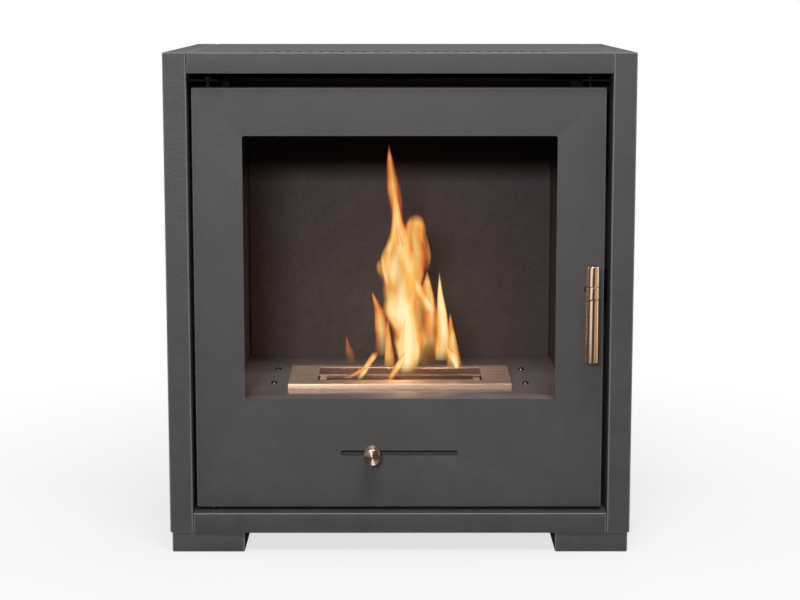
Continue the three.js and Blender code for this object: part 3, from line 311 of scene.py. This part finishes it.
def zinc_plate(name, colour, roughness):
    """Bright zinc on a small steel fitting: cloudy, with a faint drawn grain."""
    zinc = Finish(name, colour, roughness, 1.0)
    clouds = zinc.noise(zinc.places(), 130, 4.0, 0.6)
    grain = zinc.noise(zinc.places((60, 1200, 1200)), 1, 2.0)
    stops = [(0.32, shaded(colour, 0.82)), (0.68, shaded(colour, 1.1))]
    zinc.drive("Base Color", zinc.ramp(clouds, stops))
    zinc.drive("Roughness", zinc.range(clouds, roughness - 0.08, roughness + 0.1))
    zinc.drive("Normal", zinc.relief(grain, 0.00001))
    return zinc.material


def turned_metal(name, colour, roughness, axis, centre, spread):
    """Turned metal: fine rings about an axis, which stretch a highlight across them."""
    metal = Finish(name, colour, roughness, 1.0)
    coordinates = metal.node("ShaderNodeTexCoord")
    about = metal.node("ShaderNodeVectorMath", operation="SUBTRACT")
    metal.join(coordinates.outputs["Object"], about.inputs[0])
    about.inputs[1].default_value = centre
    around = metal.node("ShaderNodeVectorMath", operation="CROSS_PRODUCT")
    metal.join(about.outputs["Vector"], around.inputs[0])
    around.inputs[1].default_value = axis
    turned = metal.node("ShaderNodeVectorTransform", vector_type="VECTOR")
    turned.convert_from = "OBJECT"
    turned.convert_to = "WORLD"
    metal.join(around.outputs["Vector"], turned.inputs["Vector"])
    surface = metal.node("ShaderNodeNewGeometry")
    over_rings = metal.node("ShaderNodeVectorMath", operation="CROSS_PRODUCT")
    metal.join(surface.outputs["Normal"], over_rings.inputs[0])
    metal.join(turned.outputs["Vector"], over_rings.inputs[1])
    tangent = metal.node("ShaderNodeVectorMath", operation="NORMALIZE")
    metal.join(over_rings.outputs["Vector"], tangent.inputs[0])
    distance = metal.node("ShaderNodeVectorMath", operation="LENGTH")
    metal.join(around.outputs["Vector"], distance.inputs[0])
    length = metal.node("ShaderNodeVectorMath", operation="DOT_PRODUCT")
    metal.join(about.outputs["Vector"], length.inputs[0])
    length.inputs[1].default_value = axis
    ring_place = metal.node("ShaderNodeCombineXYZ")
    metal.join(distance.outputs["Value"], ring_place.inputs["X"])
    metal.join(length.outputs["Value"], ring_place.inputs["Y"])
    rings = metal.noise(ring_place.outputs["Vector"], 3200, 2.0, 0.7)
    clouds = metal.noise(metal.places(), 45, 3.0)
    stops = [(0.3, shaded(colour, 0.9)), (0.7, shaded(colour, 1.08))]
    metal.drive("Base Color", metal.ramp(rings, stops))
    gloss = metal.calculate(
        "ADD", metal.range(rings, -0.02, 0.03), metal.range(clouds, -0.02, 0.02)
    )
    metal.drive("Roughness", metal.calculate("ADD", gloss, roughness))
    metal.drive("Normal", metal.relief(rings, 0.0000015))
    metal.set("Anisotropic", spread)
    metal.drive("Tangent", tangent.outputs["Vector"])
    return metal.material


def moulded_plastic(name, colour):
    plastic = Finish(name, colour, 0.55)
    fine = plastic.noise(plastic.places(), 900, 2.0)
    plastic.drive("Base Color", plastic.ramp(fine, [(0.3, shaded(colour, 0.8)), (0.7, colour)]))
    plastic.drive("Roughness", plastic.range(fine, 0.48, 0.62))
    plastic.drive("Normal", plastic.relief(fine, 0.00002))
    return plastic.material


TAPE_YARNS = 260


def woven_tape(name, colour):
    """Flat glass-fibre tape: two crossed waves of yarn."""
    tape = Finish(name, colour, 0.9)
    across = tape.node("ShaderNodeTexWave", bands_direction="X")
    upright = tape.node("ShaderNodeTexWave", bands_direction="Z")
    for wave in (across, upright):
        wave.inputs["Scale"].default_value = TAPE_YARNS
        wave.inputs["Distortion"].default_value = 0.6
        tape.join(tape.places(), wave.inputs["Vector"])
    yarn = tape.calculate("MULTIPLY", across.outputs["Fac"], upright.outputs["Fac"])
    stops = [(0.1, shaded(colour, 0.5)), (0.8, shaded(colour, 1.3))]
    tape.drive("Base Color", tape.ramp(yarn, stops))
    tape.drive("Roughness", tape.range(yarn, 0.85, 0.97, 0, 1))
    tape.drive("Normal", tape.relief(yarn, 0.0002))
    return tape.material


SCORCHED_BROWN = (0.07, 0.04, 0.028)


def pressed_fibre(name, colour):
    """Ceramic fibre, pressed into a pad and browned here and there by the fire."""
    pad = Finish(name, colour, 0.95)
    strands = pad.noise(pad.places((300, 900, 300)), 1, 6.0, 0.7)
    scorch = pad.noise(pad.places(), 28, 3.0)
    mixed = pad.calculate(
        "ADD", pad.calculate("MULTIPLY", strands, 0.6), pad.calculate("MULTIPLY", scorch, 0.4)
    )
    stops = [(0.34, SCORCHED_BROWN), (0.5, colour), (0.7, shaded(colour, 1.1))]
    pad.drive("Base Color", pad.ramp(mixed, stops))
    pad.drive("Roughness", pad.range(strands, 0.88, 1.0))
    pad.drive("Normal", pad.relief(strands, 0.0006))
    return pad.material


def window_glass(name):
    """Clear glass that lets the light of lamps through, with a weak gloss."""
    pane = Finish(name)
    pane.tree.nodes.remove(pane.shader)
    clear = pane.node("ShaderNodeBsdfTransparent")
    clear.inputs["Color"].default_value = (0.985, 0.99, 0.987, 1)
    gloss = pane.node("ShaderNodeBsdfGlossy")
    gloss.inputs["Color"].default_value = (0.95, 0.97, 0.97, 1)
    smudges = pane.noise(pane.places(), 16, 4.0, 0.6)
    pane.join(pane.range(smudges, 0.02, 0.05), gloss.inputs["Roughness"])
    edge = pane.node("ShaderNodeFresnel")
    edge.inputs["IOR"].default_value = 1.12
    both = pane.mixed_shader(edge.outputs["Fac"], clear.outputs["BSDF"], gloss.outputs["BSDF"])
    pane.join(both, pane.end.inputs["Surface"])
    return pane.material


FLAME_RED = (0.50, 0.09, 0.03)
FLAME_ORANGE = (0.88, 0.25, 0.05)
FLAME_AMBER = (0.96, 0.50, 0.12)
FLAME_PALE = (1.0, 0.82, 0.45)
FLAME_STOPS = [(0.0, FLAME_RED), (0.24, FLAME_ORANGE), (0.55, FLAME_AMBER), (1.0, FLAME_PALE)]
FLAME_GLOW = 1.12
FLAME_STREAKS = (62, 62, 15)


def flame_finish(name, heat, cover, rise):
    """A sheet of flame: glowing, streaked upwards, redder and thinner at its edges and tip.

    It grows out of nothing over the lowest share of its height, the rise.
    """
    flame = Finish(name, (0, 0, 0), 1.0)
    flame.set("Specular IOR Level", 0.0)
    flow = flame.node("ShaderNodeUVMap", uv_map="flow")
    split = flame.node("ShaderNodeSeparateXYZ")
    flame.join(flow.outputs["UV"], split.inputs["Vector"])
    height = split.outputs["Y"]
    streaks = flame.noise(flame.places(FLAME_STREAKS), 1.0, 1.0, 0.35, distortion=0.9)
    off_middle = flame.calculate("ABSOLUTE", flame.calculate("SUBTRACT", split.outputs["X"], 0.5))
    inward = flame.calculate("SUBTRACT", 1.0, flame.calculate("MULTIPLY", off_middle, 2.0))
    licked = flame.calculate("ADD", inward, flame.range(streaks, -0.12, 0.06))
    body = flame.range(licked, 0.0, 1.0, 0.0, 0.34)
    foot = flame.range(height, 0.0, 1.0, 0.0, rise)
    tip = flame.range(height, 1.0, 0.0, 0.8, 1.0)
    thin = flame.range(streaks, 0.82, 1.0)
    dense = flame.calculate(
        "MULTIPLY", flame.calculate("MULTIPLY", body, thin), flame.calculate("MULTIPLY", foot, tip)
    )
    flame.drive("Alpha", flame.calculate("MULTIPLY", dense, cover))
    streaked = flame.calculate(
        "ADD", flame.calculate("MULTIPLY", inward, 0.66), flame.range(streaks, -0.22, 0.3)
    )
    cooled = flame.calculate("SUBTRACT", streaked, flame.range(height, 0.0, 0.3, 0.5, 1.0))
    flame.drive("Emission Color", flame.ramp(flame.calculate("ADD", cooled, heat), FLAME_STOPS))
    flame.set("Emission Strength", FLAME_GLOW)
    flame.material.cycles.emission_sampling = "NONE"
    return flame.material


PAINT_GREY = (0.0525, 0.0502, 0.0510)
PAINT_ROUGHNESS = 0.52
PAINT_GLOSS = 0.42
COARSE_GRAIN = 0.00018
FINE_GRAIN = 0.00008
FIREBOX_SHADE = (0.376, 0.405)
# The body paint carries a painted highlight on its bends.
body_paint = stove_paint(
    "body_paint", PAINT_GREY, PAINT_ROUGHNESS, COARSE_GRAIN, PAINT_GLOSS, painted_bend_highlight=True
)
# The vented top carries painted highlights on its bends and painted shade inside its vent slots.
vented_paint = stove_paint(
    "vented_paint", PAINT_GREY, PAINT_ROUGHNESS, COARSE_GRAIN, PAINT_GLOSS,
    shade=(shade_in_slots, from_front(6), ROOF), painted_bend_highlight=True,
)
# The carriage's paint goes nearly black above the knob's middle: a painted shadow of the slot's upper
# edge.
carriage_paint_with_painted_shadow = stove_paint(
    "carriage_paint_with_painted_shadow", PAINT_GREY, 0.6, FINE_GRAIN, 0.2,
    shade=(shade_upwards, KNOB_MIDDLE.z + 0.0003, KNOB_MIDDLE.z + 0.0009),
)
# Above the heights in FIREBOX_SHADE the firebox paint goes nearly black: a painted shadow cast by the
# door's top.
firebox_paint = stove_paint(
    "firebox_paint", (0.086, 0.069, 0.075), 0.75, FINE_GRAIN, 0.05,
    shade=(shade_upwards, *FIREBOX_SHADE),
)
# Three copies of one stainless steel, tinted for light: the burner's warm orange is painted firelight,
# the deck's pinkish tone a painted reflection of flame and firebox, the lid's dark brown painted
# shade.
burner_steel_painted_firelight = brushed_steel("burner_steel_painted_firelight", (0.64, 0.45, 0.33), 0.30, 0.62)
deck_steel_painted_reflection = brushed_steel("deck_steel_painted_reflection", (0.345, 0.28, 0.275), 0.31, 0.62)
lid_steel_painted_shade = brushed_steel("lid_steel_painted_shade", (0.27, 0.165, 0.13), 0.30, 0.62)
# The deck screws' zinc is darkened: painted shade for the dark firebox they mirror.
screw_steel_painted_shade = zinc_plate("screw_steel_painted_shade", (0.16, 0.15, 0.15), 0.3)
zinc = zinc_plate("zinc_plate", (0.46, 0.47, 0.49), 0.38)
UPRIGHT = (0, 0, 1)
BACKWARDS = (0, 1, 0)
handle_copper = turned_metal("handle_copper", (0.86, 0.66, 0.52), 0.17, UPRIGHT, HANDLE_AXIS, 0.35)
knob_copper = turned_metal("knob_copper", (0.64, 0.49, 0.42), 0.30, BACKWARDS, KNOB_MIDDLE, 0.96)
# The bush's brass is nearly black: painted shade where its rim shows beside the handle.
bush_brass_painted_shade = turned_metal("bush_brass_painted_shade", (0.09, 0.068, 0.036), 0.42, UPRIGHT, HANDLE_AXIS, 0.2)
black_steel = zinc_plate("blackened_steel", (0.018, 0.016, 0.016), 0.42)
washer_plastic = moulded_plastic("washer_plastic", (0.02, 0.02, 0.02))
seal_tape = woven_tape("seal_tape", (0.03, 0.03, 0.03))
ceramic_fibre = pressed_fibre("ceramic_fibre", (0.10, 0.064, 0.05))
clear_glass = window_glass("clear_glass")

FINISH_OF_SLOT = {
    "body_paint": body_paint,
    "firebox_paint": firebox_paint,
    "stainless": burner_steel_painted_firelight,
    "zinc_steel": zinc,
    "black_steel": black_steel,
    "copper_finish": handle_copper,
    "brass_bush": bush_brass_painted_shade,
    "clear_glass": clear_glass,
    "seal_tape": seal_tape,
    "washer_plastic": washer_plastic,
    "ceramic_fibre": ceramic_fibre,
}
FINISH_OF_NODE = {
    "top_panel": vented_paint,
    "knob_carriage": carriage_paint_with_painted_shadow,
    "deck_plate": deck_steel_painted_reflection,
    "burner_lid": lid_steel_painted_shade,
    "knob": knob_copper,
}

# ---------- Pieces that stand for the solids, with smooth bends ----------

slot_of_node = {
    entry["node"]: entry["material_slot"] for entry in frame["record"]["subparts"]
}
body_of_node = {
    node: body
    for body, members in frame["record"]["behaviour"]["bodies"].items()
    for node in members
}

SMOOTH_SLOTS = ("body_paint", "copper_finish", "brass_bush", "stainless")
SAME_PLACE = 0.000002
FOLD_LIMIT = 50
HEAD_LIMIT = 30


def smooth_bends(piece, limit=FOLD_LIMIT):
    """Shades the bends of a folded or turned piece as round and leaves its faces flat."""
    for face in piece.data.polygons:
        face.use_smooth = True
    piece.data.set_sharp_from_angle(angle=math.radians(limit))
    even = piece.modifiers.new("even_faces", "WEIGHTED_NORMAL")
    even.keep_sharp = True


def piece_from(form, name, finish, body):
    """A visible piece that moves with a body."""
    mesh = bpy.data.meshes.new(name)
    form.to_mesh(mesh)
    form.free()
    mesh.materials.append(finish)
    piece = bpy.data.objects.new(name, mesh)
    bpy.context.scene.collection.objects.link(piece)
    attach(piece, body)
    return piece


def dressed_copy(node, finish):
    """A copy that stands for a solid, with its faces joined so that its bends shade smoothly."""
    form = bmesh.new()
    form.from_mesh(parts[node].data)
    bmesh.ops.remove_doubles(form, verts=form.verts, dist=SAME_PLACE)
    bmesh.ops.dissolve_limit(
        form,
        angle_limit=math.radians(0.5),
        verts=form.verts,
        edges=form.edges,
        use_dissolve_boundaries=False,
    )
    bmesh.ops.triangulate(form, faces=form.faces)
    piece = piece_from(form, node + "_finished", finish, body_of_node[node])
    smooth_bends(piece)
    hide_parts(node)


for node, part in parts.items():
    finish = FINISH_OF_NODE.get(node, FINISH_OF_SLOT[slot_of_node[node]])
    if slot_of_node[node] in SMOOTH_SLOTS:
        dressed_copy(node, finish)
    else:
        part.data.materials.clear()
        part.data.materials.append(finish)

# ---------- Screws and rivets ----------

FACING = {
    "up": Matrix.Identity(4),
    "back": Matrix.Rotation(math.radians(-90), 4, "X"),
    "left": Matrix.Rotation(math.radians(-90), 4, "Y"),
    "right": Matrix.Rotation(math.radians(90), 4, "Y"),
}


def turn_profile(form, profile, steps):
    """Turns a profile of radius and height about the upright axis and gives its corners."""
    before = set(form.verts)
    corners = [form.verts.new((radius, 0, height)) for radius, height in profile]
    edges = [form.edges.new(pair) for pair in zip(corners, corners[1:])]
    bmesh.ops.spin(
        form,
        geom=corners + edges,
        cent=(0, 0, 0),
        axis=(0, 0, 1),
        angle=math.tau,
        steps=steps,
        use_merge=True,
    )
    made = [vert for vert in form.verts if vert not in before]
    bmesh.ops.remove_doubles(form, verts=made, dist=0.000003)
    return [vert for vert in form.verts if vert not in before]


def screw_head(form, radius):
    """A button head with a six-sided socket."""
    height = radius * 0.62
    socket = radius * 0.46
    profile = [
        (0, height * 0.35),
        (socket, height * 0.35),
        (socket, height * 0.97),
        (radius * 0.62, height),
        (radius * 0.84, height * 0.78),
        (radius * 0.97, height * 0.38),
        (radius, 0),
    ]
    made = turn_profile(form, profile, 24)
    for vert in made:
        flat = Vector((vert.co.x, vert.co.y))
        if abs(flat.length - socket) < radius * 0.02:
            angle = math.atan2(flat.y, flat.x) % (math.pi / 3) - math.pi / 6
            flat *= math.cos(math.pi / 6) / math.cos(angle)
            vert.co.x, vert.co.y = flat
    return made


def rivet_head(form, radius):
    """A flat dome."""
    profile = [
        (0, radius * 0.42),
        (radius * 0.4, radius * 0.40),
        (radius * 0.75, radius * 0.28),
        (radius * 0.95, radius * 0.12),
        (radius, 0),
    ]
    return turn_profile(form, profile, 20)


def heads(name, head, radius, places, facing, finish, body):
    """One piece with a screw head or a rivet head at each place, all facing the same way."""
    form = bmesh.new()
    for place in places:
        made = head(form, radius)
        bmesh.ops.transform(form, matrix=Matrix.Translation(place) @ FACING[facing], verts=made)
    bmesh.ops.recalc_face_normals(form, faces=form.faces)
    smooth_bends(piece_from(form, name, finish, body), HEAD_LIMIT)


DECK_SCREW_RADIUS = 0.0036
DECK_SCREW_X = 0.143
DECK_SCREW_DEPTHS = (114, 192)


def deck_screws():
    places = [
        (side * DECK_SCREW_X, from_front(depth), DECK_TOP)
        for side in (-1, 1)
        for depth in DECK_SCREW_DEPTHS
    ]
    heads("deck_screws", screw_head, DECK_SCREW_RADIUS, places, "up", screw_steel_painted_shade, "cabinet")


REAR_SCREW_RADIUS = 0.0035
REAR_EDGE_SCREW_X = 0.208
REAR_EDGE_SCREW_HEIGHTS = (0.075, 0.213, 0.351, 0.489)
REAR_MIDDLE_SCREW_X = 0.07
REAR_MIDDLE_SCREW_HEIGHTS = (0.060, 0.504)


def rear_panel_screws():
    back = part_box("rear_panel")[1].y
    places = [
        (side * x, back, height)
        for x, heights in (
            (REAR_EDGE_SCREW_X, REAR_EDGE_SCREW_HEIGHTS),
            (REAR_MIDDLE_SCREW_X, REAR_MIDDLE_SCREW_HEIGHTS),
        )
        for side in (-1, 1)
        for height in heights
    ]
    heads(
        "rear_panel_screws", screw_head, REAR_SCREW_RADIUS, places, "back", black_steel, "cabinet"
    )


# The back of the clips and the rails, where they lie flat on the door's sheet.
FLANGE_BACK = DOOR_FRONT + 0.0038

CLIP_SCREW_RADIUS = 0.0032
CLIP_SCREW_INSET = 0.0075


def clip_screws():
    places = []
    for level in ("upper", "lower"):
        for side, outward in (("left", -1), ("right", 1)):
            low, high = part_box(f"glass_clip_{level}_{side}")
            edge = high.x if outward > 0 else low.x
            places.append((edge - outward * CLIP_SCREW_INSET, FLANGE_BACK, (low.z + high.z) / 2))
    heads("glass_clip_screws", screw_head, CLIP_SCREW_RADIUS, places, "back", black_steel, "door")


RAIL_RIVET_RADIUS = 0.0026
RAIL_RIVET_INSET = 0.0045
RAIL_END_MARGIN = 0.012


def rail_rivets():
    places = []
    for level, outward in (("upper", 1), ("lower", -1)):
        low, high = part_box(f"slide_rail_{level}")
        edge = high.z if outward > 0 else low.z
        for x in (low.x + RAIL_END_MARGIN, (low.x + high.x) / 2, high.x - RAIL_END_MARGIN):
            places.append((x, FLANGE_BACK, edge - outward * RAIL_RIVET_INSET))
    heads("slide_rail_rivets", rivet_head, RAIL_RIVET_RADIUS, places, "back", zinc, "door")


BRACKET_RIVET_RADIUS = 0.0022
BRACKET_SHEET = 0.002
BRACKET_RIVET_DROP = 0.0035
BRACKET_END_MARGIN = 0.007


def bracket_rivets(bracket, facing, outward):
    low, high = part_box(bracket)
    x = (high.x - BRACKET_SHEET) if outward > 0 else (low.x + BRACKET_SHEET)
    places = [
        (x, y, high.z - BRACKET_RIVET_DROP)
        for y in (low.y + BRACKET_END_MARGIN, high.y - BRACKET_END_MARGIN)
    ]
    heads(
        bracket + "_rivets", rivet_head, BRACKET_RIVET_RADIUS, places, facing, black_steel, "cabinet"
    )


deck_screws()
rear_panel_screws()
clip_screws()
rail_rivets()
bracket_rivets("hinge_bracket", "right", -1)
bracket_rivets("stop_bracket", "left", 1)

# ---------- Flame ----------

pale = flame_finish("flame_pale", 0.27, 0.98, 0.1)
amber = flame_finish("flame_amber", 0.07, 0.88, 0.22)
orange = flame_finish("flame_orange", -0.1, 0.8, 0.3)
veil = flame_finish("flame_veil", -0.04, 0.5, 0.3)
wisp = flame_finish("flame_wisp", -0.1, 0.3, 0.4)

FLAME_FOOT = LID_TOP + 0.0008
TONGUE_SWAY = 3.0
TONGUE_BOW = 0.5
TIP_HALF_WIDTH = 0.15


def row_at(rows, share):
    """The row at a share of the way up, on the smooth curve through all rows."""
    last = len(rows) - 1
    at = min(share * last, last - 1e-6)
    i = int(at)
    t = at - i
    p0, p1 = Vector(rows[max(i - 1, 0)]), Vector(rows[i])
    p2, p3 = Vector(rows[i + 1]), Vector(rows[min(i + 2, last)])
    return (
        2 * p1
        + (p2 - p0) * t
        + (2 * p0 - 5 * p1 + 4 * p2 - p3) * t**2
        + (3 * p1 - p0 - 3 * p2 + p3) * t**3
    ) / 2


def flame_tongue(name, finish, depth, turn, rows):
    """A bowed sheet of flame that sways from side to side up its height, its foot kept just above the
    lid.
    """
    form = bmesh.new()
    form.loops.layers.uv.new("flow")
    bmesh.ops.create_grid(form, x_segments=14, y_segments=48, size=0.5, calc_uvs=True)
    facing = Matrix.Rotation(math.radians(turn), 3, "Z")
    for vert in form.verts:
        across, share = vert.co.x * 2, vert.co.y + 0.5
        z, left, right = row_at(rows, share)
        middle, half = (left + right) / 2, max((right - left) / 2, TIP_HALF_WIDTH)
        sway = TONGUE_SWAY * math.sin(share * 5.0 + depth)
        bow = -TONGUE_BOW * half * (1 - across**2)
        offset = facing @ Vector((across * half, bow + sway, 0))
        vert.co = Vector((middle + offset.x, 1000 * from_front(depth) + offset.y, z)) / 1000
        vert.co.z = max(vert.co.z, FLAME_FOOT)
    tongue = piece_from(form, name, finish, "cabinet")
    for face in tongue.data.polygons:
        face.use_smooth = True
    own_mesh(tongue)


# Each tongue is a bowed sheet. Its rows run from its foot to its tip, each with the height and
# the places of the left and the right edge in millimetres. Before them come its finish, how far
# it stands behind the front in millimetres, and how far it turns about its height in degrees.
flame_tongue("flame_wash", veil, 127, -6, [
    (181.5, -2, 46), (206, -4.5, 50.5), (223, -2, 47), (240.5, 0, 41), (258, 3.5, 36.5),
    (274, 9.5, 27.5),
])
flame_tongue("flame_link", amber, 128, 12, [
    (205.5, 24, 47), (225.5, 26.5, 46), (241.5, 25.5, 44.5), (257.5, 22, 41), (269.5, 23, 38),
    (281, 27.5, 35), (291, 31, 32),
])
flame_tongue("flame_spire", orange, 121, 8, [
    (327.5, -10, 10.5), (350.5, -10.5, 6), (367.5, -13, 4), (384.5, -16, 1.5), (398, -16.5, -2),
    (412.5, -15.5, -6), (427, -14, -10), (437.5, -12.5, -12),
])
flame_tongue("flame_lobe", amber, 122, -10, [
    (245, -2, 27.5), (264.5, 0, 26.5), (281.5, 2.5, 28.5), (295.5, 4.5, 33.5), (310.5, 4.5, 36),
    (324, 3.5, 33.5), (335.5, 2.5, 30), (345.5, 3.5, 29), (352.5, 8, 27.5), (356.5, 13.5, 23),
])
flame_tongue("flame_body", pale, 115, 0, [
    (174.5, -2, 17.5), (193, -4.5, 26.5), (214, -9, 31), (231, -13.5, 27.5), (247, -21, 24),
    (263.5, -19, 23), (281.5, -22.5, 25), (299, -27.5, 23), (317, -19, 18), (333, -13, 12.5),
    (349, -10, 4.5), (368, -9, 0), (387, -10, -4.5), (400.5, -10.5, -9),
])
flame_tongue("flame_left", orange, 119, -10, [
    (194.5, -29.5, -9), (215.5, -29.5, -10.5), (234, -30, -13.5), (250, -30.5, -19),
    (261.5, -31, -26), (269.5, -31.5, -30.5),
])
flame_tongue("flame_left_inner", amber, 123, 6, [
    (180, -19, -4.5), (201, -18, -6.5), (219.5, -17, -10), (236.5, -14.5, -13),
])
flame_tongue("flame_sweep", pale, 107, 0, [
    (247.5, 28.5, 42), (259, 22.5, 36.5), (270.5, 16, 29.5), (283, 10.5, 22.5), (297.5, 3.5, 15),
    (313.5, -1, 8), (329.5, -3.5, 3), (343, -5, -1), (359, -5, -4),
])
flame_tongue("flame_heart", pale, 109, 0, [
    (178, 1.5, 15), (199, 0, 19.5), (219.5, 1.5, 17.5), (238, 2.5, 15), (255, 2.5, 12.5),
    (271, 3, 8.5), (285, 3.5, 4.5),
])
flame_tongue("flame_right", pale, 111, 4, [
    (191.5, 39, 56), (212.5, 38.5, 57), (230.5, 40.5, 55.5), (247, 41.5, 54), (260.5, 42, 51),
    (273, 43, 48), (284.5, 44, 46), (292.5, 44.5, 45),
])
flame_tongue("flame_flank", amber, 117, 12, [
    (181, 51.5, 71), (198.5, 52.5, 68.5), (218, 53.5, 64), (234, 55, 61), (244.5, 57, 58),
])
flame_tongue("flame_far_left", wisp, 121, 0, [
    (185, -63.5, -46.5), (199, -63, -51), (209.5, -62, -56.5), (219.5, -61.5, -61),
])
flame_tongue("flame_foot_left", amber, 106, 0, [
    (170.5, -49.5, -43.5), (178.5, -45, -37), (187, -40, -31.5), (195, -35.5, -26.5),
    (203, -30, -24),
])
flame_tongue("flame_foot_outer", orange, 104, 0, [
    (172, -63, -56.5), (177, -57.5, -47), (181.5, -48.5, -38.5), (185.5, -40.5, -34),
])
flame_tongue("flame_foot_middle", amber, 105, 0, [
    (168.5, -15.5, -10), (176.5, -12.5, -4), (186, -6.5, 3), (195, 0, 8.5), (204, 5.5, 10),
])
flame_tongue("flame_foot_right", pale, 107, 0, [
    (182, 62.5, 67), (190, 58.5, 67), (198, 53, 65.5), (205, 50, 59), (212, 49, 51.5),
])

# ---------- Floor and light ----------

# What bright metal mirrors, by the bearing in degrees from straight ahead of the door: a pale
# room behind the object, and a dark one before it with one long bright wall on the left.
ROOM = [
    (-180, (0.5, 0.5, 0.5)),
    (-105, (0.85, 0.85, 0.85)),
    (-80, (0.05, 0.04, 0.035)),
    (-52, (0.10, 0.08, 0.07)),
    (-40, (1.0, 0.93, 0.9)),
    (-14, (1.0, 0.93, 0.9)),
    (-4, (0.05, 0.04, 0.035)),
    (30, (0.06, 0.05, 0.04)),
    (46, (0.72, 0.48, 0.26)),
    (78, (0.5, 0.32, 0.17)),
    (105, (0.85, 0.85, 0.85)),
    (180, (0.5, 0.5, 0.5)),
]

FLOOR_RADIUS = 1.2
FLOOR_TONE = (0.70, 0.70, 0.70)
FLOOR_TONE_MIRRORED = (0.07, 0.06, 0.055)
FADE_FROM, FADE_TO = 0.3, 0.9
LEAST_WHITENESS = 0.72


def studio_floor():
    """A disc of pale paper, which shows the shadow near the object and fades to white outwards."""
    form = bmesh.new()
    bmesh.ops.create_circle(form, cap_ends=True, segments=96, radius=FLOOR_RADIUS)
    mesh = bpy.data.meshes.new("floor")
    form.to_mesh(mesh)
    form.free()
    floor = bpy.data.objects.new("floor", mesh)
    bpy.context.scene.collection.objects.link(floor)
    paper = Finish("floor_paper", FLOOR_TONE, 0.9)
    paper.set("Specular IOR Level", 0.0)
    white = paper.node("ShaderNodeEmission")
    seen = paper.node("ShaderNodeLightPath")
    tones = [(0, FLOOR_TONE), (1, FLOOR_TONE_MIRRORED)]
    paper.drive("Base Color", paper.ramp(seen.outputs["Is Glossy Ray"], tones))
    away = paper.node("ShaderNodeVectorMath", operation="LENGTH")
    paper.join(paper.places(), away.inputs[0])
    whiteness = paper.range(away.outputs["Value"], LEAST_WHITENESS, 1.0, FADE_FROM, FADE_TO)
    share = paper.calculate("MULTIPLY", seen.outputs["Is Camera Ray"], whiteness)
    both = paper.mixed_shader(share, paper.shader.outputs["BSDF"], white.outputs["Emission"])
    paper.join(both, paper.end.inputs["Surface"])
    mesh.materials.append(paper.material)


AIR_TONE = (0.98, 0.99, 1.0)
AIR_LIGHT = 0.13


def studio_air():
    """A dim even light. The camera sees white, and bright metal mirrors the room."""
    world = bpy.data.worlds.new("studio")
    bpy.context.scene.world = world
    air = Nodes(world)
    end = air.node("ShaderNodeOutputWorld")
    ray = air.node("ShaderNodeLightPath")
    split = air.node("ShaderNodeSeparateXYZ")
    air.join(air.node("ShaderNodeTexCoord").outputs["Generated"], split.inputs["Vector"])
    ahead = air.calculate("MULTIPLY", split.outputs["Y"], -1)
    bearing = air.calculate("ARCTAN2", split.outputs["X"], ahead)
    turn = air.calculate("ADD", air.calculate("DIVIDE", bearing, math.tau), 0.5)
    room = air.ramp(turn, [(degrees / 360 + 0.5, colour) for degrees, colour in ROOM])
    mirrored = air.node("ShaderNodeBackground")
    air.join(room, mirrored.inputs["Color"])
    dim = air.node("ShaderNodeBackground")
    dim.inputs["Color"].default_value = (*AIR_TONE, 1)
    dim.inputs["Strength"].default_value = AIR_LIGHT
    white = air.node("ShaderNodeBackground")
    white.inputs["Color"].default_value = (1, 1, 1, 1)
    seen = air.calculate("MAXIMUM", ray.outputs["Is Camera Ray"], ray.outputs["Is Transmission Ray"])
    lit = air.mixed_shader(
        ray.outputs["Is Glossy Ray"], dim.outputs["Background"], mirrored.outputs["Background"]
    )
    both = air.mixed_shader(seen, lit, white.outputs["Background"])
    air.join(both, end.inputs["Surface"])


def lamp(name, place, target, size, power, mirrored=True):
    """A rectangular lamp that points at a target. One that isn't mirrored gives no highlight."""
    data = bpy.data.lights.new(name, "AREA")
    data.shape = "RECTANGLE"
    data.size, data.size_y = size
    data.energy = power
    made = bpy.data.objects.new(name, data)
    made.location = place
    made.rotation_euler = (Vector(target) - Vector(place)).to_track_quat("-Z", "Y").to_euler()
    made.visible_camera = False
    made.visible_glossy = mirrored
    bpy.context.scene.collection.objects.link(made)


def glow(name, place, radius, power, colour):
    """A round lamp that shines to all sides and gives no highlight."""
    data = bpy.data.lights.new(name, "POINT")
    data.shadow_soft_size = radius
    data.energy = power
    data.color = colour
    made = bpy.data.objects.new(name, data)
    made.location = place
    made.visible_camera = False
    made.visible_glossy = False
    bpy.context.scene.collection.objects.link(made)


FIRE_MIDDLE = (0.004, from_front(112), 0.205)

studio_floor()
studio_air()
lamp("key", (-0.42, -3.15, 1.12), (0, 0, 0.36), (0.62, 0.30), 41)
lamp("front_high", (0.1, -0.95, 1.7), (0, -0.1, 0.6), (0.8, 0.4), 21)
lamp("side_left", (-2.6, 0.25, 1.0), (0, 0.05, 0.3), (1.2, 1.6), 32)
lamp("side_right", (2.6, 0.25, 1.0), (0, 0.05, 0.3), (1.2, 1.6), 32)
lamp("rear", (0.4, 3.0, 1.2), (0, 0, 0.3), (1.6, 1.4), 38, mirrored=False)
glow("fire", FIRE_MIDDLE, 0.02, 0.5, (1.0, 0.68, 0.42))

# ---------- Camera ----------

CAMERA_PLACE = (-0.0014, -2.118, 0.6002)
CAMERA_TILT = 8.10
CAMERA_TURN = -0.044
FOCAL_LENGTH = 83.39
SENSOR_WIDTH = 36
LENS_SHIFT = -0.05

lens = bpy.data.cameras.new("camera")
lens.lens = FOCAL_LENGTH
lens.sensor_width = SENSOR_WIDTH
lens.shift_y = LENS_SHIFT
camera = bpy.data.objects.new("camera", lens)
camera.location = CAMERA_PLACE
camera.rotation_euler = (math.radians(90 - CAMERA_TILT), 0, math.radians(CAMERA_TURN))
bpy.context.scene.collection.objects.link(camera)
bpy.context.scene.camera = camera
bpy.context.scene.view_settings.view_transform = "Standard"
